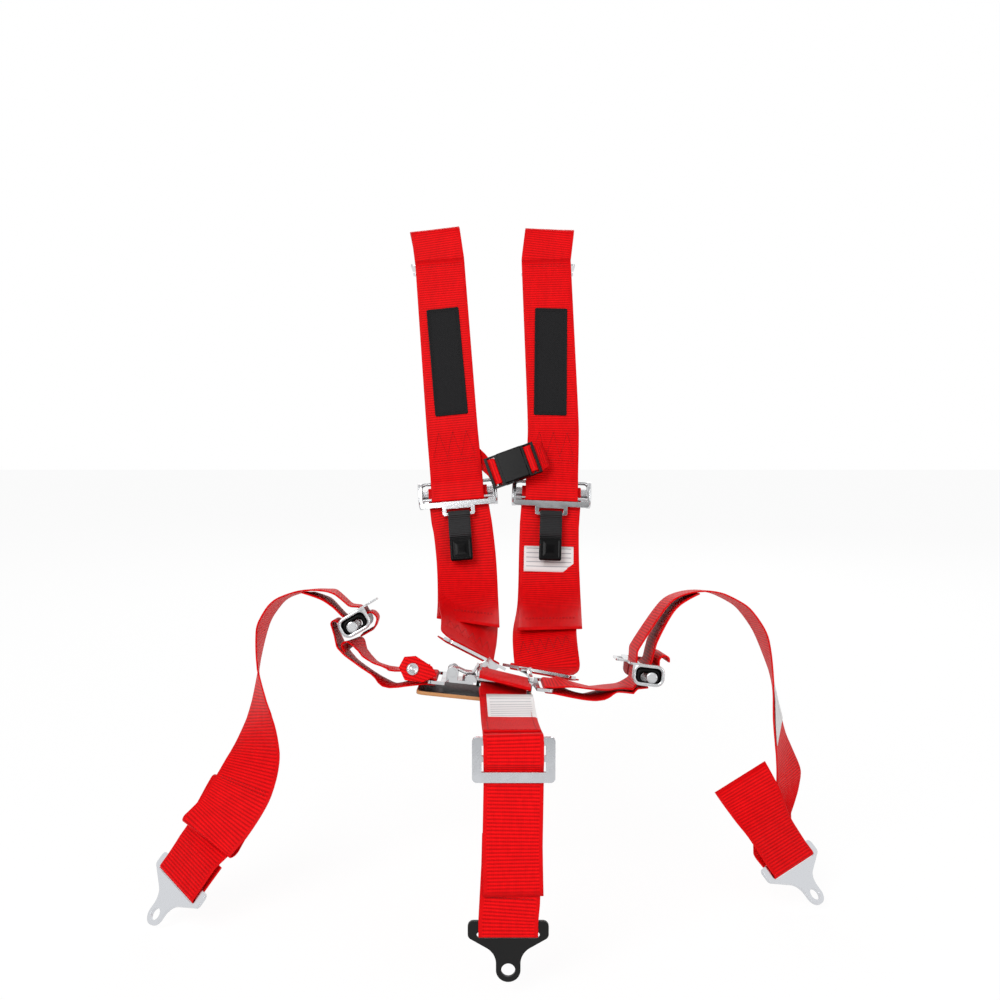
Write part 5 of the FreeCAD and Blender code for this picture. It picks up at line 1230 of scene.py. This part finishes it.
class HARNESS_OT_pull_tabs(bpy.types.Operator):
    """Make the doubled pull straps and their moulded ends"""
    bl_idname = "harness.pull_tabs"
    bl_label = "Pull Tabs"

    def execute(self, context):
        half_x, half_y, corner = 13, 13.5, 2.5
        middle = TAB_BAR_Y - PULL_LENGTH - half_y
        for side in SIDES:
            body = f"{side}_pull_tab"
            strap(f"{side}_pull_strap", pull_route(side), PULL_WEB, "black_webbing",
                  thick=PULL_THICK, body=body, node=f"shoulder_{side}_pull_tab_strap")
            place = ADJUSTERS[side] @ Matrix.Translation((0, middle, TAB_BAR_Z))
            profile = [(2.2, -2.9), (0.9, -2.7), (0.1, -1.6), (0.0, 0.0), (0.1, 1.6), (0.9, 2.6),
                       (2.6, 2.9), (3.4, 2.3), (4.6, 2.3), (5.4, 2.75), (9.0, 2.95)]
            rings = cushion_rings(place, half_x, half_y, corner, profile)
            block = loft(f"{side}_pull_end", rings, "black_plastic", body)
            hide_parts(f"shoulder_{side}_pull_tab_end")
        return {"FINISHED"}


class HARNESS_OT_patches(bpy.types.Operator):
    """Sew a bare embroidered patch on each shoulder strap"""
    bl_idname = "harness.patches"
    bl_label = "Shoulder Patches"

    def execute(self, context):
        half, length, hem, share = 20.0, 140.0, 4.2, 0.61
        for side in SIDES:
            top, foot = Vector(FRONTS[side][0][:3]), Vector(FRONTS[side][1][:3])
            lean = front_lean(side)
            middle = top + (foot - top) * share + lean * (PLY + 0.1)
            place = frame_from(middle, FRONTS[side][0][4], top - foot)
            profile = [(0.4, 0.0), (0.0, 0.4), (0.1, 0.9), (0.6, 1.25), (1.3, 1.35), (2.1, 1.15),
                       (2.5, 0.85), (3.2, 0.8), (10.0, 0.82), (18.0, 0.83)]
            rings = cushion_rings(place, half, length / 2, 2.0, profile)
            back = place.inverted()
            uvs = [tuple((back @ point).xy * MM) for ring in rings for point in ring]
            patch = loft(f"{side}_patch", rings, "black_patch", uvs=uvs)
            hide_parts(f"shoulder_{side}_patch")
            rows = [box_row(hem, length - hem, half - hem)]
            stitching(f"{side}_patch_stitching", flat_line(place, length / 2), rows,
                      finish="black_thread", thick=1.7)
        return {"FINISHED"}


class HARNESS_OT_labels(bpy.types.Operator):
    """Lay plain ruled satin labels on the shoulder, lap and crotch webbing"""
    bl_idname = "harness.labels"
    bl_label = "Labels"

    def execute(self, context):
        wide = sizes().wide_web / MM
        strap("shoulder_label", SHOULDER_LABEL, wide - 12, "white_label", LABEL_THICK,
              node="shoulder_right_label")
        strap("lap_label", LAP_LABEL, wide - 14, "white_label", LABEL_THICK,
              node="lap_right_label")
        strap("crotch_label_piece", CROTCH_LABEL, 44, "white_label", LABEL_THICK,
              node="crotch_label")
        return {"FINISHED"}


class HARNESS_OT_slide_bars(bpy.types.Operator):
    """Turn the four knurled slide bars with their heads"""
    bl_idname = "harness.slide_bars"
    bl_label = "Slide Bars"

    def execute(self, context):
        flutes, deep, end = 26, 0.35, ADJUSTER_REACH + HEAD_THICK
        around = [(math.tau * index / (flutes * 4),
                   SLIDE_RADIUS - (deep if index % 4 in (1, 2) else 0))
                  for index in range(flutes * 4)]
        for kind, side, place in each_adjuster():
            centre = place @ Matrix.Translation((0, SLIDE_REST, -SLIDE_BEHIND))
            rings = [[centre @ Vector((x, radius * math.cos(angle), radius * math.sin(angle)))
                      for angle, radius in around] for x in (-end, end)]
            body = f"{side}_{kind}_slide_bar"
            bar = loft(f"{body}_knurl", rings, "knurled_steel", body, smooth=False)
            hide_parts(f"{kind}_{side}_adjuster_slide_bar")
            for sign, name in ((-1, "inner"), (1, "outer")):
                start = (ADJUSTER_REACH + 0.1) * sign
                profile = [(start, SLIDE_RADIUS - 0.2), (start, HEAD_RADIUS - 0.3),
                           (start + 0.3 * sign, HEAD_RADIUS),
                           (start + 0.7 * sign, HEAD_RADIUS - 0.3),
                           (start + 0.7 * sign, SLIDE_RADIUS - 0.2)]
                turned(f"{body}_{name}_collar", centre, profile, "knurled_steel", body)
        return {"FINISHED"}


class HARNESS_OT_adjuster_rims(bpy.types.Operator):
    """Bend each adjuster's top rim, rim the windows of its cheeks, and line them in black plastic
    as painted shade
    """
    bl_idname = "harness.adjuster_rims"
    bl_label = "Adjuster Rims"

    def execute(self, context):
        side_at, top, back, along_z = 43.25, 14.6, -0.5, (0, 0, 1)
        face, shade_lining, shade_liner_inset = ADJUSTER_REACH - 0.3, 0.25, 3.0
        rounds = ((0.5, -0.1), (0, 0.5), (0, 1.5), (0.7, 2.2), (2.6, 2.2), (3.2, 1.6),
                  (3.2, -0.1))
        for kind, side, place in each_adjuster():
            route = in_frame(place, [
                (-side_at, 5, back, 0, along_z), (-side_at, top, back, 6, along_z),
                (side_at, top, back, 6, along_z), (side_at, 5, back, 0, along_z)])
            strap(f"{side}_{kind}_adjuster_rim", route, 4.2, "hardware_chrome", thick=2.6)
            for sign, end in ((-1, "inner"), (1, "outer")):
                name = f"{side}_{kind}_adjuster_{end}"
                rings = [cheek_loop(place, sign, CHEEK, inset, face + rise)
                         for inset, rise in rounds]
                loft(f"{name}_cheek_rim", rings, "hardware_chrome", hoop=True)
                # A black liner between the rim and the slot window: painted shade in the cheek's
                # recess
                rings = [cheek_loop(place, sign, shape, inset, face + rise)
                         for shape, inset, rise in (
                             (CHEEK, shade_liner_inset, 0), (CHEEK, shade_liner_inset, shade_lining),
                             (SLOT_WINDOW, 0, shade_lining), (SLOT_WINDOW, 0, 0))]
                loft(f"{name}_cheek_shade_liner", rings, "black_plastic", hoop=True)
        return {"FINISHED"}


class HARNESS_OT_latch_lever(bpy.types.Operator):
    """Form the low latch lever with its knuckle and raised finger end"""
    bl_idname = "harness.latch_lever"
    bl_label = "Latch Lever"

    def execute(self, context):
        pin = LATCH @ Matrix.Translation(LEVER_PIN)
        turned_about_y = pin @ Matrix.Rotation(math.pi / 2, 4, "Z")
        profile = [(-11, 2.5), (-11, 4.2), (-10.4, 4.8), (10.4, 4.8), (11, 4.2), (11, 2.5)]
        knuckle = turned("latch_lever_knuckle", turned_about_y, profile, "hardware_chrome",
                         "latch_lever")
        finger = (24.0, 0, 9.5)
        route = in_frame(pin, [
            (-1, 0, 3.6, 0, DOWN), (6, 0, 2.6, 8, DOWN), (12, 0, 0.4, 8, DOWN),
            (20, 0, 0.4, 5, DOWN), (*finger, 0, DOWN)])

        def narrowing(spot):
            return 0.42 + 0.58 * min(1.0, (spot - pin @ Vector(finger)).length / 14)

        arm = strap("latch_lever_arm", route, 22, "hardware_chrome", thick=2.2, taper=narrowing,
                    body="latch_lever")
        lever = join("latch_lever_piece", [knuckle, arm])
        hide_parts("latch_lever")
        return {"FINISHED"}


class HARNESS_OT_latch_pad(bpy.types.Operator):
    """Cut and sew the leather pad behind the latch"""
    bl_idname = "harness.latch_pad"
    bl_label = "Latch Pad"

    def execute(self, context):
        low, thick, half_x, half_y, hem = -12.5, 3.5, 56, 42, 4
        place = LATCH @ Matrix.Translation((-6, 0, low))
        profile = [(0.5, 0.0), (0.0, 0.4), (0.0, thick - 0.5), (0.5, thick - 0.1),
                   (2.5, thick - 0.1), (3.6, thick - 0.5), (4.8, thick - 0.1), (12, thick),
                   (30, thick), (41, thick)]
        rings = cushion_rings(place, half_x, half_y, 8, profile)
        flags = [1.0 if row < 4 else 0.0 for row, ring in enumerate(rings) for _ in ring]
        pad = loft("latch_pad", rings, "black_leather", flags=flags)
        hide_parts("latch_backing_pad")
        rows = [box_row(hem, 2 * half_y - hem, half_x - hem)]
        stitching("latch_pad_stitching", flat_line(place, half_y), rows, facing=(0, 0, 1),
                  finish="black_thread", thick=2 * (thick - 0.5))
        return {"FINISHED"}


class HARNESS_OT_latch_spring(bpy.types.Operator):
    """Wind the torsion spring beside the lever"""
    bl_idname = "harness.latch_spring"
    bl_label = "Latch Spring"

    def execute(self, context):
        centre = LATCH @ Matrix.Translation(LEVER_PIN)
        mean, wire, turns, per_turn = 3.4, 0.55, 2.4, 18
        start, end = -13.5, -12.0
        rings = []
        for index in range(int(turns * per_turn) + 1):
            angle = math.tau * index / per_turn
            along = start + (end - start) * index / (turns * per_turn)
            out = Vector((math.cos(angle), 0, math.sin(angle)))
            rings.append([centre @ (out * (mean + wire * math.cos(turn))
                                    + Vector((0, along + wire * math.sin(turn), 0)))
                          for turn in (math.tau * k / 8 for k in range(8))])
        spring = loft("latch_spring_coil", rings, "satin_steel")
        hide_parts("latch_spring")
        return {"FINISHED"}


class HARNESS_OT_snap(bpy.types.Operator):
    """Cut the snap tab and press its ring snap"""
    bl_idname = "harness.snap"
    bl_label = "Snap Tab"

    def execute(self, context):
        outline = [(-13, 9), (-3, 13), (15, 8), (22, 1), (11, -9), (-6, -12), (-15, -2)]
        profile = [(0.06, 0.0), (0.0, 0.4), (0.0, WEB_THICK - 0.4), (0.06, WEB_THICK),
                   (0.5, WEB_THICK), (0.9, WEB_THICK)]
        rings, uvs = [], []
        for inset, height in profile:
            flat = [(x * (1 - inset), y * (1 - inset)) for x, y in outline]
            rings.append([SNAP @ Vector((x, y, height)) for x, y in flat])
            uvs += [(x * MM, y * MM) for x, y in flat]
        tab = loft("snap_tab", rings, "red_webbing", uvs=uvs, flags=[0.0] * len(uvs))
        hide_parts("lap_left_snap_tab")
        upright = SNAP @ Matrix.Translation((-2, 0, WEB_THICK)) @ Matrix.Rotation(
            -math.pi / 2, 4, "Y")
        profile = [(0.0, 5.9), (0.5, 6.0), (1.5, 5.6), (2.2, 4.7), (2.4, 4.0), (2.0, 3.3),
                   (1.3, 3.0), (1.2, 2.4), (1.7, 2.0), (1.9, 1.2), (1.95, 0.3)]
        cap = turned("snap_cap", upright, profile, "hardware_chrome")
        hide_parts("lap_left_snap_cap")
        return {"FINISHED"}


class HARNESS_OT_hardware(bpy.types.Operator):
    """Finish the steel and moulded fittings"""
    bl_idname = "harness.hardware"
    bl_label = "Hardware"

    def execute(self, context):
        chromed, zinced = ["latch_plate", "latch_link_plate", "latch_pivot_pin"], ["crotch_slide"]
        for side in SIDES:
            chromed += [f"shoulder_{side}_adjuster_frame", f"lap_{side}_adjuster_frame",
                        f"shoulder_{side}_rear_slide", f"shoulder_{side}_link_tip"]
            zinced += [f"shoulder_{side}_rear_anchor_plate", f"lap_{side}_anchor_plate"]
        finish_nodes(chromed, "hardware_chrome")
        finish_nodes(zinced, "satin_steel")
        finish_nodes(["crotch_anchor_plate"], "black_steel")
        finish_nodes(["sternum_buckle_socket", "sternum_buckle_plug",
                      "sternum_buckle_upper_prong", "sternum_buckle_lower_prong"],
                     "black_plastic")
        return {"FINISHED"}


def seen_directly(tree):
    """1 for what the eye sees straight, in a mirror or through glass, and 0 for other light."""
    path = add(tree, "ShaderNodeLightPath")
    seen = path.outputs["Is Camera Ray"]
    for kind in ("Is Glossy Ray", "Is Transmission Ray"):
        seen = add(tree, "ShaderNodeMath", {0: seen, 1: path.outputs[kind]},
                   operation="MAXIMUM").outputs[0]
    return seen


def studio_sheet(name, corners, material):
    """One flat face of the studio."""
    mesh = bpy.data.meshes.new(name)
    mesh.from_pydata(corners, [], [(0, 1, 2, 3)])
    mesh.materials.append(material)
    sheet = bpy.data.objects.new(name, mesh)
    bpy.context.scene.collection.objects.link(sheet)
    return sheet


class HARNESS_OT_studio(bpy.types.Operator):
    """Set the floor, the soft lamps, the white backdrop and the camera"""
    bl_idname = "harness.studio"
    bl_label = "Studio"

    def execute(self, context):
        scene = context.scene
        low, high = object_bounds()
        material, tree, output = start_material("Studio floor, matt paint")
        # The eye sees nine tenths plain white, and the rest as paint with its soft shadows
        share = add(tree, "ShaderNodeMath", {0: seen_directly(tree), 1: 0.9},
                    operation="MULTIPLY")
        paint = add(tree, "ShaderNodeBsdfDiffuse", {"Color": linear(colours().floor)})
        white = add(tree, "ShaderNodeEmission", {"Color": (1, 1, 1, 1), "Strength": 1.03})
        mixed = add(tree, "ShaderNodeMixShader", {0: share.outputs[0], 1: paint.outputs[0],
                    2: white.outputs[0]})
        tree.links.new(mixed.outputs[0], output.inputs[0])
        reach, level = 6.0, low.z - 4 * MM
        floor = studio_sheet("floor", [(-reach, -reach, level), (reach, -reach, level),
                                       (reach, reach, level), (-reach, reach, level)], material)
        floor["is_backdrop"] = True

        world = bpy.data.worlds.new("Studio backdrop")
        world.use_nodes = True
        tree = world.node_tree
        tree.nodes.clear()
        # White to look at, but a dim light, so that the lamps shape the belts
        dim = add(tree, "ShaderNodeBackground", {"Color": (1, 1, 1, 1), "Strength": 0.35})
        white = add(tree, "ShaderNodeBackground", {"Color": (1, 1, 1, 1), "Strength": 1.0})
        mixed = add(tree, "ShaderNodeMixShader", {0: seen_directly(tree), 1: dim.outputs[0],
                    2: white.outputs[0]})
        output = add(tree, "ShaderNodeOutputWorld")
        tree.links.new(mixed.outputs[0], output.inputs[0])
        scene.world = world

        # Dark cards that only mirrors see, so that bright metal has something to show
        card_paint, tree, output = start_material("Black flock, matt")
        flock = add(tree, "ShaderNodeBsdfDiffuse", {"Color": linear(FLOCK_BLACK)})
        tree.links.new(flock.outputs[0], output.inputs[0])
        for name, (x, y, z), wide, deep, tall in (
                ("left_card", (-1.5, -1.3, 0), 0.75, 0, 1.7),
                ("right_card", (0.75, -1.5, 0), 0.7, 0, 1.7),
                ("high_card", (-0.45, -1.2, 1.35), 0.9, 0, 0.6),
                ("floor_card", (-0.7, -1.5, -0.01), 1.2, 0.75, 0)):
            card = studio_sheet(name, [(x, y, z), (x + wide, y, z), (x + wide, y + deep, z + tall),
                                       (x, y + deep, z + tall)], card_paint)
            card.visible_camera = card.visible_diffuse = card.visible_shadow = False
            card.visible_transmission = card.visible_volume_scatter = False
            card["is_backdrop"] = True

        # Three soft square lamps, by place and side in metres, all aimed at the middle
        middle = (low + high) / 2
        for name, place, side, watts in (("key", (-1.1, -1.9, 1.9), 1.6, 48),
                                         ("fill", (1.5, -1.6, 0.8), 1.6, 16),
                                         ("back", (0.3, 2.2, 1.6), 1.6, 20)):
            lamp = bpy.data.lights.new(name, "AREA")
            lamp.shape, lamp.size, lamp.energy = "SQUARE", side, watts
            holder = bpy.data.objects.new(name, lamp)
            holder.location = place
            aim = middle - holder.location
            holder.rotation_euler = aim.to_track_quat("-Z", "Y").to_euler()
            scene.collection.objects.link(holder)

        # The eye stands about a metre in front of the belts, level with the chest
        eye = bpy.data.cameras.new("camera")
        eye.sensor_width, eye.lens = 36.0, 43.2
        camera = bpy.data.objects.new("camera", eye)
        camera.location = Vector((-7, -980, 502)) * MM
        camera.rotation_euler = (math.radians(84.24), 0, 0)
        scene.collection.objects.link(camera)
        scene.camera = camera
        scene.view_settings.view_transform = "Standard"
        return {"FINISHED"}


PIECES = (HARNESS_OT_hardware, HARNESS_OT_shoulder_webbing, HARNESS_OT_lap_webbing,
          HARNESS_OT_crotch_webbing, HARNESS_OT_sternum_webbing, HARNESS_OT_pull_tabs,
          HARNESS_OT_patches, HARNESS_OT_labels, HARNESS_OT_slide_bars,
          HARNESS_OT_adjuster_rims, HARNESS_OT_latch_lever, HARNESS_OT_latch_pad,
          HARNESS_OT_latch_spring, HARNESS_OT_snap, HARNESS_OT_studio)


class HARNESS_PT_panel(bpy.types.Panel):
    """Lists the sizes, the colours and an operator for each group of pieces"""
    bl_idname = "HARNESS_PT_panel"
    bl_label = "Racing Harness"
    bl_space_type = "VIEW_3D"
    bl_region_type = "UI"
    bl_category = "Harness"

    def draw(self, context):
        column = self.layout.column()
        for group in (context.scene.harness_sizes, context.scene.harness_colours):
            for name in group.__annotations__:
                column.prop(group, name)
        for piece in PIECES:
            column.operator(piece.bl_idname)


CLASSES = (HarnessSizes, HarnessColours) + PIECES + (HARNESS_PT_panel,)


def register():
    """Add the classes and the two groups of settings."""
    for item in CLASSES:
        bpy.utils.register_class(item)
    bpy.types.Scene.harness_sizes = PointerProperty(type=HarnessSizes)
    bpy.types.Scene.harness_colours = PointerProperty(type=HarnessColours)


def unregister():
    """Take them away again, last one first."""
    del bpy.types.Scene.harness_colours
    del bpy.types.Scene.harness_sizes
    for item in reversed(CLASSES):
        bpy.utils.unregister_class(item)


def main():
    """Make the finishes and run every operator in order."""
    register()
    make_finishes()
    for piece in PIECES:
        group, name = piece.bl_idname.split(".")
        getattr(getattr(bpy.ops, group), name)()
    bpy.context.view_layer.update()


if __name__ == "__main__":
    main()
